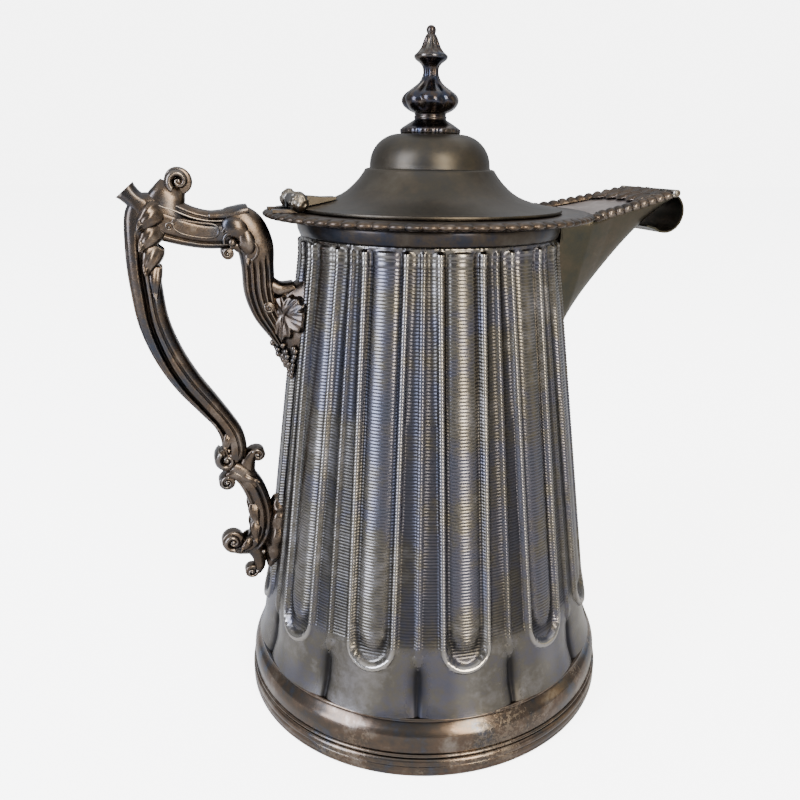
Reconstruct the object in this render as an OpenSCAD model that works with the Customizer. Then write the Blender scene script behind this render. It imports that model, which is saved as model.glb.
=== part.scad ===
// Tall covered ice-water pitcher in silver plate: a double-walled fluted cone on a banded foot,
// with a domed lid on a knuckle hinge, a covered spout with a swinging pour flap, and a cast handle.
// Millimetres. Z is up, the origin is the centre of the foot's rest face, the spout is on +X and
// the handle on -X.

/* [Body] */
// Radius of the foot band at its widest
foot_r = 94.2; // [90:0.1:98]
// Height of the foot band
foot_h = 27; // [24:0.5:30]
// Outer radius of the body wall at the top
body_top_r = 59.2; // [57:0.1:60]
// Height of the top of the body wall
body_top_z = 232; // [228:0.5:234]
// Growth of the body radius for each millimetre down
body_taper = 0.137; // [0.12:0.001:0.14]
// Thickness of the spun sheet
wall_t = 1.2; // [1:0.1:1.6]
// Air gap between the body wall and the liner
air_gap = 5; // [4:0.1:6]

/* [Rim and lid] */
// Outer radius of the gadrooned rim
rim_r = 76.2; // [74:0.1:78]
// Number of lobes round the rim
rim_lobes = 72; // [48:4:96]
// Radius of the open mouth inside the rim
mouth_r = 57; // [56:0.1:57.4]
// Radius of the lid's edge
lid_r = 61; // [60:0.1:61.2]
// Overall height to the top of the finial
total_h = 320; // [318:0.5:324]

/* [Hinges] */
// Distance of the lid hinge axis behind the body axis
lid_hinge_x = 62.5; // [62.2:0.1:64]
// Height of the lid hinge axis
lid_hinge_z = 247; // [246.8:0.1:248]
// Radius of the lid hinge knuckles
knuckle_r = 2.6; // [2.4:0.1:2.8]
// Radius of the lid hinge pin
pin_r = 1.2; // [1:0.1:1.4]
// Distance of the flap hinge axis in front of the body axis
flap_hinge_x = 117.5; // [117:0.1:118]
// Height of the flap hinge axis
flap_hinge_z = 251; // [250.6:0.1:251.4]
// Radial clearance of a pin in a moving knuckle
pin_clear = 0.05; // [0.02:0.01:0.1]

/* [Spout] */
// Half width of the spout where it leaves the rim
spout_root_w = 34; // [32:0.5:36]
// Half width of the spout at its tip
spout_tip_w = 24.8; // [24:0.1:26]
// Distance of the cover's front edge from the body axis
cover_end_x = 115; // [114.5:0.1:115.2]

/* [Handle] */
// Half width of the handle's leg across the hand
leg_half_w = 7; // [6:0.1:8]
// Half width of the lower scroll across the hand
scroll_half_w = 5; // [4:0.1:6]

/* [Hidden] */
$fn = 96;
eps = 0.05;

// Levels above the table
plate_z = 6;
liner_floor_z = 14;
collar_top_z = body_top_z + 7.5;
rim_t = 3;
rim_top_z = collar_top_z + rim_t;
lid_edge_z = rim_top_z + 0.3;
lid_crown_z = 275.6;

// Radii
collar_r = body_top_r + 2;
liner_inset = wall_t + air_gap;
bezel_r = mouth_r - 1;
stud_r = 2;

// The port through both walls behind the spout
port_half_w = 12;
port_z = [197, 228];

// Colours
silver = "#8e8a84";
dark_silver = "#4b4c52";
bronze_grey = "#5c544d";
enamel = "#c9c6bd";

// Outer radius of the body wall at a height, with the apron that flares below 40 mm
function body_r(z) = body_top_r + body_taper * (body_top_z - z) + 0.027 * pow(max(0, 40 - z), 1.7);
// Outer radius of what the spout is soldered to: the body wall, then the neck collar
function wall_r(z) = z > body_top_z - 1 ? collar_r
    : lerp(body_r(z), collar_r, max(0, (z - body_top_z + 7) / 6));
function lerp(a, b, t) = a + (b - a) * t;
function bezier(a, b, c, t) = a * (1 - t) * (1 - t) + b * 2 * t * (1 - t) + c * t * t;

// Smooth curve through a list of stations, each one [x, z, half height, half width]
function catmull(a, b, c, d, t) =
    0.5 * (2 * b + (c - a) * t + (2 * a - 5 * b + 4 * c - d) * t * t + (3 * b - a - 3 * c + d) * t * t * t);
function spline(s, steps) = let (last = len(s) - 1) concat(
    [for (i = [0:last - 1], k = [0:steps - 1])
        catmull(s[max(i - 1, 0)], s[i], s[i + 1], s[min(i + 2, last)], k / steps)],
    [s[last]]);

// Side triangles and end caps of a stack of rings
function side_faces(rings, n) = [
    for (i = [0:rings - 2], k = [0:n - 1])
        let (a = i * n + k, b = i * n + (k + 1) % n)
        each [[a, b, b + n], [a, b + n, a + n]]];
function cap_faces(rings, n) = [
    [for (k = [0:n - 1]) (rings - 1) * n + k],
    [for (k = [0:n - 1]) n - 1 - k]];

// A bar with an elliptical section, bent in the XZ plane
module bar(stations, steps = 4, sides = 12) {
    rings = spline(stations, steps);
    last = len(rings) - 1;
    points = [for (i = [0:last])
        let (r = rings[i],
             d = rings[min(i + 1, last)] - rings[max(i - 1, 0)],
             t = [d[0], d[1]] / norm([d[0], d[1]]))
        for (k = [0:sides - 1])
            let (u = r[2] * cos(360 * k / sides), v = r[3] * sin(360 * k / sides))
            [r[0] - t[1] * u, v, r[1] + t[0] * u]];
    polyhedron(points, concat(side_faces(last + 1, sides), cap_faces(last + 1, sides)));
}

// A round boss whose axis runs across the handle
module boss(x, z, r, half_w) {
    translate([x, 0, z]) rotate([90, 0, 0]) cylinder(r = r, h = 2 * half_w, center = true);
}

// A cylinder along Y between two values of y
module y_rod(x, z, r, y0, y1) {
    translate([x, y1, z]) rotate([90, 0, 0]) cylinder(r = r, h = y1 - y0);
}

// ---------------------------------------------------------------- body

foot_outline = [[foot_r - 1.7, 0], [foot_r, 1.8], [foot_r, 8], [foot_r - 1.2, 9.6], [foot_r - 1.6, 12],
                [foot_r - 2.9, 17], [foot_r - 3.5, 22], [foot_r - 3.6, 24.4], [foot_r - 4, foot_h],
                [foot_r - 6.2, foot_h], [foot_r - 5.6, 20], [foot_r - 4.4, 10], [foot_r - 4.4, 0]];

module foot_ring() {
    color(dark_silver) rotate_extrude() polygon(foot_outline);
}

module bottom_plate() {
    color(dark_silver) translate([0, 0, plate_z]) cylinder(r = foot_r - 4.4, h = wall_t);
}

wall_levels = [foot_h, 30, 33, 36, 40, body_top_z];

// Solid of revolution inside a wall: the body's outline less an inset
module body_cone(inset, levels) {
    rotate_extrude() polygon(concat(
        [[0, levels[0]]],
        [for (z = levels) [body_r(z) - inset, z]],
        [[0, levels[len(levels) - 1]]]));
}

module port_block(grow) {
    translate([30, -port_half_w - grow, port_z[0] - grow])
        cube([60, 2 * (port_half_w + grow), port_z[1] - port_z[0] + 2 * grow]);
}

module body_shell() {
    color(dark_silver) difference() {
        rotate_extrude() polygon(concat(
            [for (z = wall_levels) [body_r(z), z]],
            [for (i = [len(wall_levels) - 1:-1:0]) [body_r(wall_levels[i]) - wall_t, wall_levels[i]]]));
        port_block(0);
    }
}

liner_top_z = body_top_z + 3.2;
liner_low_r = body_top_r + body_taper * (body_top_z - liner_floor_z) - liner_inset;
liner_top_r = body_top_r + body_taper * (body_top_z - liner_top_z) - liner_inset;

// Inner vessel: a floor, a conical wall, and a flange out to the neck
module liner() {
    color(enamel) difference() {
        rotate_extrude() polygon([
            [0, liner_floor_z], [liner_low_r, liner_floor_z], [liner_top_r, liner_top_z - wall_t],
            [mouth_r + 0.6, liner_top_z - wall_t], [mouth_r + 0.6, liner_top_z],
            [liner_top_r - wall_t, liner_top_z], [liner_low_r - wall_t, liner_floor_z + wall_t],
            [0, liner_floor_z + wall_t]]);
        port_block(0);
    }
}

// Lining of the port, across the air gap
module port_sleeve() {
    color(silver) intersection() {
        difference() {
            port_block(0);
            port_block(-1.5);
        }
        difference() {
            body_cone(0, [150, body_top_z]);
            body_cone(liner_inset + wall_t, [149, body_top_z + 1]);
        }
    }
}

module neck_collar() {
    color(dark_silver) rotate_extrude() polygon([
        [mouth_r + 0.6, body_top_z], [collar_r, body_top_z], [collar_r, collar_top_z],
        [mouth_r + 0.6, collar_top_z]]);
}

// Rim flange with a lobed edge
module rim_border() {
    steps = rim_lobes * 6;
    color(bronze_grey) difference() {
        translate([0, 0, collar_top_z]) linear_extrude(rim_t)
            polygon([for (i = [0:steps - 1])
                let (a = 360 * i / steps, lobe = abs(sin(a * rim_lobes / 2)))
                (rim_r - 1.2 + 1.2 * lobe) * [cos(a), sin(a)]]);
        translate([0, 0, collar_top_z - 1]) cylinder(r = mouth_r, h = rim_t + 2);
    }
}

// ---------------------------------------------------------------- spout

cover_z = [241, 249.2];
cover_t = 1.2;
cover_gap = 0.4;
border_v = 0.82;

// Point of the cover's top, s from the rim to the tip and v across from -1 to 1
function cover_w(s) = lerp(spout_root_w, spout_tip_w, pow(s, 0.8));
function cover_root_x(v) = sqrt(pow(rim_r + cover_gap, 2) - pow(spout_root_w * v, 2));
function cover_point(s, v, lift) = [
    lerp(cover_root_x(v), cover_end_x, s),
    cover_w(s) * v,
    lerp(cover_z[0], cover_z[1], pow(s, 1.15)) + lift + 1.5 * s * (1 - v * v)];

// Plate that follows the cover between two values of v and of s
module cover_strip(s0, s1, v0, v1, low, high, ns = 12, nv = 8) {
    ring = 2 * (nv + 1);
    points = [for (i = [0:ns]) let (s = lerp(s0, s1, i / ns)) each concat(
        [for (k = [0:nv]) cover_point(s, lerp(v0, v1, k / nv), high)],
        [for (k = [nv:-1:0]) cover_point(s, lerp(v0, v1, k / nv), low)])];
    faces = concat(side_faces(ns + 1, ring), [
        for (k = [0:nv - 1]) each let (a = k, b = k + 1, c = ring - 2 - k, d = ring - 1 - k, e = ns * ring)
        [[d, c, b], [d, b, a], [e + a, e + b, e + c], [e + a, e + c, e + d]]]);
    polyhedron(points, faces);
}

module spout_cover() {
    color(bronze_grey) cover_strip(0, 1, -border_v, border_v, 0, cover_t);
}

// Moulding along both edges of the cover and a raised band across its tip
module cover_border() {
    color(bronze_grey) {
        for (side = [0, 1]) mirror([0, side, 0])
            cover_strip(0, 1, border_v + 0.005, 1, 0, 2.6, 12, 3);
        cover_strip(0.8, 1, -border_v + 0.005, border_v - 0.005, cover_t + eps, cover_t + 1.2, 4, 8);
    }
}

// Edge of the trough: under the rim first, then under the cover's edge
trough_split = 0.22;
trough_root = [51, 31.5, collar_top_z - 0.8];
trough_edge_at_rim = cover_point(0, 1, -0.2);
function trough_edge(s) = s < trough_split
    ? lerp(trough_root, [trough_edge_at_rim[0], trough_edge_at_rim[1], collar_top_z - 0.4], s / trough_split)
    : let (u = (s - trough_split) / (1 - trough_split), p = cover_point(u, 1, -0.2))
      [p[0], p[1], lerp(collar_top_z - 0.4, p[2], min(1, u * 4))];
function keel(s) = bezier([69, 0, 160], [78, 0, 204], [102, 0, 237], s);

// Powers of the trough's section: near a straight V where it meets the body, a full U at the lip
trough_v = 1.15;
trough_u = 4.05;

// Point of the trough's skin, f from -90 to 90 across the section
function trough_point(s, f, inset) =
    let (e = trough_edge(s),
         k = keel(s),
         across = f / 90,
         up = pow(abs(across), lerp(trough_v, trough_u, pow(s, 2.2))),
         y = (e[1] - inset) * across,
         z = lerp(k[2] + 1.4 * inset, e[2], up),
         x = lerp(k[0], e[0], up),
         wall_x = sqrt(pow(wall_r(z) + eps, 2) - y * y))
    [lerp(x, wall_x, pow(1 - s, 3 + 9 * up)), y, z];

module spout_trough() {
    ns = 16;
    nf = 20;
    ring = 2 * (nf + 1);
    angles = [for (k = [0:nf]) -90 + 180 * k / nf];
    points = [for (i = [0:ns]) each concat(
        [for (k = [0:nf]) trough_point(i / ns, angles[nf - k], 0)],
        [for (k = [0:nf]) trough_point(i / ns, angles[k], wall_t)])];
    faces = concat(side_faces(ns + 1, ring), [
        for (k = [0:nf - 1]) each let (a = k, b = k + 1, c = ring - 2 - k, d = ring - 1 - k, e = ns * ring)
        [[d, c, b], [d, b, a], [e + a, e + b, e + c], [e + a, e + c, e + d]]]);
    color(bronze_grey) polyhedron(points, faces);
}

// Flap hinge: two fixed ears with a pin, and the flap's barrel between them
barrel_r = 1.7;
flap_pin_r = 0.85;
barrel_half = 20;
ear_gap = 0.3;

module flap_ears() {
    color(silver) for (side = [-1, 1])
        difference() {
            union() {
                y_rod(flap_hinge_x, flap_hinge_z, barrel_r,
                      side > 0 ? barrel_half + ear_gap : -spout_tip_w,
                      side > 0 ? spout_tip_w : -barrel_half - ear_gap);
                translate([cover_end_x + 0.1, side > 0 ? barrel_half + ear_gap : -spout_tip_w,
                           flap_hinge_z - barrel_r])
                    cube([flap_hinge_x - cover_end_x, spout_tip_w - barrel_half - ear_gap, 1.8]);
            }
            y_rod(flap_hinge_x, flap_hinge_z, flap_pin_r, -40, 40);
        }
}

module flap_pin() {
    color(silver) y_rod(flap_hinge_x, flap_hinge_z, flap_pin_r, -spout_tip_w, spout_tip_w);
}

// Curled sheet of the flap: an arc below the hinge and a straight tail under the mouth
curl = [flap_hinge_x - 4, flap_hinge_z - 9];
curl_r = 9.7;
flap_t = 0.9;
flap_half = 23.6;
flap_tail = [flap_hinge_x - 14.4, flap_hinge_z - 15.6];

function curl_arc(r, a0, a1, n) = [for (i = [0:n]) let (a = lerp(a0, a1, i / n)) curl + r * [cos(a), sin(a)]];

module flap_section(a0) {
    polygon(concat(
        curl_arc(curl_r, a0, -126, 20),
        [flap_tail, flap_tail + [0.4, 0.8]],
        curl_arc(curl_r - flap_t, -124, a0, 20)));
}

module along_y(y0, y1) {
    translate([0, y1, 0]) rotate([90, 0, 0]) linear_extrude(y1 - y0) children();
}

module pour_flap() {
    color(bronze_grey) difference() {
        union() {
            along_y(-flap_half, flap_half) flap_section(42);
            along_y(-barrel_half, barrel_half) flap_section(64);
            y_rod(flap_hinge_x, flap_hinge_z, barrel_r, -barrel_half, barrel_half);
        }
        y_rod(flap_hinge_x, flap_hinge_z, flap_pin_r + pin_clear, -40, 40);
    }
}

// ---------------------------------------------------------------- lid

// Outer outline of the lid from its edge to the finial's seat
function dome(a0, a1, n) = [for (i = [0:n]) let (a = lerp(a0, a1, i / n))
    [13.4 + 14 * cos(a), 262 + 13.6 * sin(a)]];
lid_outline = concat(
    [[lid_r, lid_edge_z], [lid_r, lid_edge_z + 1.1], [54, 245.2], [48.7, 246.4], [43.5, 247.8], [40, 249.4],
     [36.3, 252.3], [32.7, 255.8], [30, 259.2], [29.2, 260.4], [27.4, 261]],
    dome(8, 90, 8));
lid_lining = concat(
    [for (i = [7:-1:0]) let (a = lerp(8, 90, i / 8)) [13.4 + 12.8 * cos(a), 262 + 12.4 * sin(a)]],
    [[26.2, 260], [28.4, 258.9], [31.6, 254.9], [35.3, 251.3], [39.2, 248.3], [43, 246.6], [48.4, 245.2],
     [54, 244], [bezel_r, lid_edge_z]]);

module lid() {
    color(silver) difference() {
        rotate_extrude() polygon(concat(lid_outline, [[0, lid_crown_z], [0, lid_crown_z - wall_t]], lid_lining));
        translate([0, 0, 260]) cylinder(r = stud_r + 0.2, h = 30);
    }
}

// Ring inside the lid that centres it in the mouth
module lid_bezel() {
    color(silver) rotate_extrude() polygon([
        [bezel_r - 1.4, rim_top_z - 6], [bezel_r, rim_top_z - 5.4], [bezel_r, lid_edge_z - eps],
        [bezel_r - 1.4, lid_edge_z - eps]]);
}

finial_outline = concat(
    [[0, lid_crown_z], [13.4, lid_crown_z], [13.4, 277.4], [12.2, 278.3], [8.8, 280.7], [6.8, 281.9],
     [6.8, 283.3]],
    [for (a = [-50:10:40]) [13 * cos(a), 289.4 + 6 * sin(a)]],
    [[8, 295], [5.2, 296.9], [3.9, 298.4], [3.3, 300.6], [3.5, 302.9], [4.6, 304.4], [7.3, 306.6],
     [7.3, 307.8], [5, 310], [3.6, 312.4], [2.4, 315.8]],
    [for (a = [-40:20:80]) [2.1 * cos(a), total_h - 2.1 + 2.1 * sin(a)]],
    [[0, total_h]]);

// Turned and chased finial with its stud
module finial() {
    color(silver) union() {
        rotate_extrude() polygon(finial_outline);
        translate([0, 0, 269]) cylinder(r = stud_r, h = lid_crown_z - 269 + eps);
    }
}

// Washer and nut that hold the finial from inside the lid, whose crown falls slightly outwards
seat_drop = 0.12;

module finial_washer() {
    color(silver) translate([0, 0, lid_crown_z - 2 * wall_t - seat_drop]) difference() {
        cylinder(r = 6, h = wall_t);
        translate([0, 0, -1]) cylinder(r = stud_r + 0.2, h = wall_t + 2);
    }
}

module finial_nut() {
    color(silver) translate([0, 0, lid_crown_z - 2 * wall_t - 3.4]) difference() {
        cylinder(r = 4.6, h = 3.2, $fn = 6);
        translate([0, 0, -1]) cylinder(r = stud_r + eps, h = 6);
    }
}

// ---------------------------------------------------------------- lid hinge

arm_half = 5.6;
leaf_half = 11;
ball_r = 4.2;
ball_y = leaf_half + ball_r - 0.6;

// Fixed leaf on the rim with two knuckles
module hinge_leaf() {
    color(bronze_grey) difference() {
        for (side = [-1, 1]) {
            y0 = side > 0 ? arm_half + 0.3 : -leaf_half;
            y1 = side > 0 ? leaf_half : -arm_half - 0.3;
            y_rod(-lid_hinge_x, lid_hinge_z, knuckle_r, y0, y1);
            translate([-lid_hinge_x - knuckle_r, y0, rim_top_z])
                cube([knuckle_r + 1.2, y1 - y0, lid_hinge_z - rim_top_z]);
            translate([-rim_r + 3, y0, rim_top_z]) cube([rim_r - 3 - lid_hinge_x, y1 - y0, 1.2]);
        }
        y_rod(-lid_hinge_x, lid_hinge_z, pin_r, -40, 40);
    }
}

// Moving leaf on the lid with the middle knuckle
module hinge_arm() {
    color(bronze_grey) difference() {
        union() {
            y_rod(-lid_hinge_x, lid_hinge_z, knuckle_r, -arm_half, arm_half);
            along_y(-arm_half, arm_half) polygon([
                [-lid_hinge_x, lid_hinge_z - 2], [-lid_hinge_x + 1.6, 244.4], [-54, 245.5], [-45, 247.6],
                [-44.4, 248.5], [-50, 248.4], [-lid_hinge_x, lid_hinge_z + 2.4]]);
        }
        y_rod(-lid_hinge_x, lid_hinge_z, pin_r + pin_clear, -40, 40);
    }
}

module hinge_pin() {
    color(silver) y_rod(-lid_hinge_x, lid_hinge_z, pin_r, -ball_y, ball_y);
}

// Knobs that close the pin's two ends
module hinge_balls() {
    color(silver) for (side = [-1, 1]) difference() {
        translate([-lid_hinge_x, side * ball_y, lid_hinge_z]) sphere(r = ball_r);
        y_rod(-lid_hinge_x, lid_hinge_z, ball_r, -leaf_half - eps, leaf_half + eps);
        y_rod(-lid_hinge_x, lid_hinge_z, pin_r, -ball_y, ball_y);
    }
}

// ---------------------------------------------------------------- handle

leg_line = [[-127, 240, 7, 6.5], [-127, 224, 6.6, leg_half_w], [-126.5, 210, 6.5, leg_half_w],
            [-125, 196, 6.4, leg_half_w], [-120.6, 182, 6.3, leg_half_w], [-114, 169, 6, leg_half_w],
            [-106, 157.5, 5.4, leg_half_w - 0.5], [-99.6, 148.5, 4.9, leg_half_w - 1],
            [-96.6, 141, 5.6, leg_half_w - 0.5], [-96.6, 132, 5.4, leg_half_w - 0.5]];
arm_line = [[-131, 245, 5, 5], [-124, 243.5, 8, 6.5], [-115, 239.5, 9, 7], [-107, 236.3, 8.2, 7],
            [-99, 235, 8, 7], [-90, 235.2, 8, 7]];
horn_line = [[-125, 244, 6, 5.5], [-128.6, 249, 4, 5], [-130.6, 252, 2, 4]];
crest_line = [[-123, 244, 6, 6], [-118.5, 250.5, 5, 6], [-114, 254.5, 4, 5.5]];

// Leg and top rail of the handle, with its crest scroll and lower ball
module handle_grip() {
    color(bronze_grey) union() {
        bar(leg_line);
        bar(arm_line);
        bar(horn_line);
        bar(crest_line);
        boss(-110.5, 254.6, 6.2, 6.5);
        boss(-99.6, 129.5, 6.2, 6.5);
    }
}

bracket_line = [[-92, 236, 7.6, 6.8], [-85, 236, 8.6, 7.6], [-81, 229, 8.4, 7.8], [-79.8, 219, 7, 7],
                [-79.6, 208, 6.8, 6.6], [-77.6, 199, 6, 6.4], [-73.5, 191, 5.6, 6.4]];

// Masked bracket that turns down from the rail towards the body
module handle_bracket() {
    color(bronze_grey) union() {
        bar(bracket_line);
        boss(-90.5, 224.5, 3, 6);
    }
}

// Vine-leaf plate with grapes that joins the bracket to the body
leaf_outline = [[-50, 212], [-61.5, 212], [-65, 208.6], [-70, 208.4], [-74, 204], [-75, 196], [-75, 186],
                [-72, 177], [-68.6, 172], [-66, 168], [-50, 168]];

module grape_mount() {
    color(dark_silver) difference() {
        along_y(-13, 13) polygon(leaf_outline);
        body_cone(-eps, [100, body_top_z + 1]);
        for (side = [0, 1]) mirror([0, side, 0])
            translate([-80, 7.5, 150]) rotate([0, 0, 30]) cube([30, 20, 80]);
    }
}

scroll_line = [[-99.6, 119.5, 3.4, 4], [-94, 121, 4.2, scroll_half_w], [-88.5, 115.5, 5, scroll_half_w],
               [-85.4, 106, 5.4, scroll_half_w + 0.6], [-85, 96, 5.4, scroll_half_w + 0.6],
               [-87.6, 86, 5, scroll_half_w], [-93.5, 80.5, 4.4, scroll_half_w], [-99, 82, 3.6, 4.4]];
knob_line = [[-92, 126.5, 4, 4.6], [-87.6, 130.5, 3.6, 4], [-84.4, 131.2, 2.8, 3.6]];
tail_line = [[-90.6, 79, 4, 4.6], [-88.4, 73, 2.8, 4], [-88.4, 67.6, 2.4, 3.4], [-91.4, 65.6, 2, 3]];

// Double C-scroll under the leg
module handle_scroll() {
    color(bronze_grey) union() {
        bar(scroll_line);
        bar([[-96.5, 126, 3.6, 4.4], [-92, 121, 5, 5], [-88, 113, 5, 5]]);
        bar(knob_line);
        bar(tail_line);
        boss(-100.4, 118, 4, 4.6);
        boss(-84.6, 131.4, 3.6, 4.2);
        boss(-99.8, 86, 5.2, 5);
        boss(-92, 67.6, 2.8, 3.6);
    }
}

// Oval pad on the body, with a short neck to the scroll
module handle_pad() {
    pad_x = -body_r(90);
    color(dark_silver) difference() {
        union() {
            translate([-82.5, 0, 90]) rotate([0, 90, 0]) cylinder(r = 6, h = 12);
            translate([pad_x - 3.4, 0, 89]) rotate([0, 90, 0])
                linear_extrude(20) scale([2, 1]) circle(r = 8.6);
        }
        body_cone(-eps, [41, body_top_z]);
    }
}

foot_ring();
bottom_plate();
body_shell();
liner();
port_sleeve();
neck_collar();
rim_border();
spout_trough();
spout_cover();
cover_border();
flap_ears();
flap_pin();
pour_flap();
lid();
lid_bezel();
finial();
finial_washer();
finial_nut();
hinge_leaf();
hinge_arm();
hinge_pin();
hinge_balls();
handle_grip();
handle_bracket();
grape_mount();
handle_scroll();
handle_pad();
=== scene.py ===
"""Tall covered ice-water pitcher in tarnished silver plate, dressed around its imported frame.

Lengths inside the classes are millimetres in the frame's own axes: Z up from the table, the spout on
+X and the handle on -X. They are turned to metres once, when a piece is finished.
"""
import logging
import math
import random
from dataclasses import dataclass
from enum import Enum
from typing import Callable, Iterable, Optional, Sequence

import bmesh
import bpy
import numpy as np
from mathutils import Matrix, Vector


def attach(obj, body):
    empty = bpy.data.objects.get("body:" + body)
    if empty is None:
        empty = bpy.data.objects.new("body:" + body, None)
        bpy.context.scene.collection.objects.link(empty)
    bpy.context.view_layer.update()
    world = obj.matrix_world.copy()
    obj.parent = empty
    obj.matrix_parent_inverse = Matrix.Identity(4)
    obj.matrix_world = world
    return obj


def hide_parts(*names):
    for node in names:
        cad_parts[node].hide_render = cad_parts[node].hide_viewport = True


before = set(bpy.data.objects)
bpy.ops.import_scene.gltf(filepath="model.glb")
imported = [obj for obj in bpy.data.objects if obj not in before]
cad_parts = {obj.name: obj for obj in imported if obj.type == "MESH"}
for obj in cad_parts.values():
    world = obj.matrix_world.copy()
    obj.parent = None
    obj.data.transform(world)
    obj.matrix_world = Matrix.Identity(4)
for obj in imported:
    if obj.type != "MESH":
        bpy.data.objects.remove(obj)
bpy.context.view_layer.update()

LOG = logging.getLogger("pitcher")
MM = 0.001
TAU = 2.0 * math.pi
SAME_MM = 1e-4           # points nearer than this are one
WALL_TOP_R = 59.2        # plain cone of the body: radius at its top, height of its top, and lean
WALL_TOP_Z = 232.0
WALL_TAPER = 0.137
Point = tuple[float, float, float]
Section = Callable[[float, float], tuple[float, float]]
Stations = tuple[tuple[float, ...], ...]


class Body(Enum):
    """The rigid bodies of the pitcher."""

    PITCHER = "pitcher"
    LID = "lid_assembly"
    FLAP = "flap_assembly"


# ------------------------------------------------------------------ finishes


def linear(colour: str) -> tuple[float, float, float, float]:
    """Turn an sRGB hex colour to linear light.

    Args:
        colour: Six hex digits with a leading hash.

    Returns:
        Red, green, blue and an alpha of one.
    """
    parts = [int(colour[i:i + 2], 16) / 255 for i in (1, 3, 5)]
    return tuple(c / 12.92 if c <= 0.04045 else ((c + 0.055) / 1.055) ** 2.4 for c in parts) + (1.0,)


def add_node(tree: bpy.types.NodeTree, kind: str, settings: Optional[dict] = None,
             inputs: Optional[dict] = None, stops: Sequence[tuple[float, str]] = ()) -> bpy.types.Node:
    """Add one shader node.

    Args:
        tree: The material's node tree.
        kind: The node's Blender type name.
        settings: Attributes to set on the node.
        inputs: Input name or index to a value, or to the output socket that feeds it.
        stops: Places from 0 to 1 and hex colours, for a node with a colour ramp.

    Returns:
        The new node.
    """
    made = tree.nodes.new(kind)
    for name, value in (settings or {}).items():
        setattr(made, name, value)
    for name, value in (inputs or {}).items():
        if isinstance(value, bpy.types.NodeSocket):
            tree.links.new(value, made.inputs[name])
        else:
            made.inputs[name].default_value = value
    if stops:
        elements = made.color_ramp.elements
        while len(elements) < len(stops):
            elements.new(0.5)
        for element, (place, colour) in zip(elements, stops):
            element.position = place
            element.color = linear(colour)
    return made


def empty_material(name: str) -> bpy.types.Material:
    """Return a new material with an empty node tree."""
    made = bpy.data.materials.new(name)
    made.use_nodes = True
    made.node_tree.nodes.clear()
    return made


class Hollows(Enum):
    """What tells a metal finish where the hollows and the rubbed high spots are."""

    NONE = "none"
    RELIEF = "relief"
    POINTINESS = "pointiness"


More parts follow.
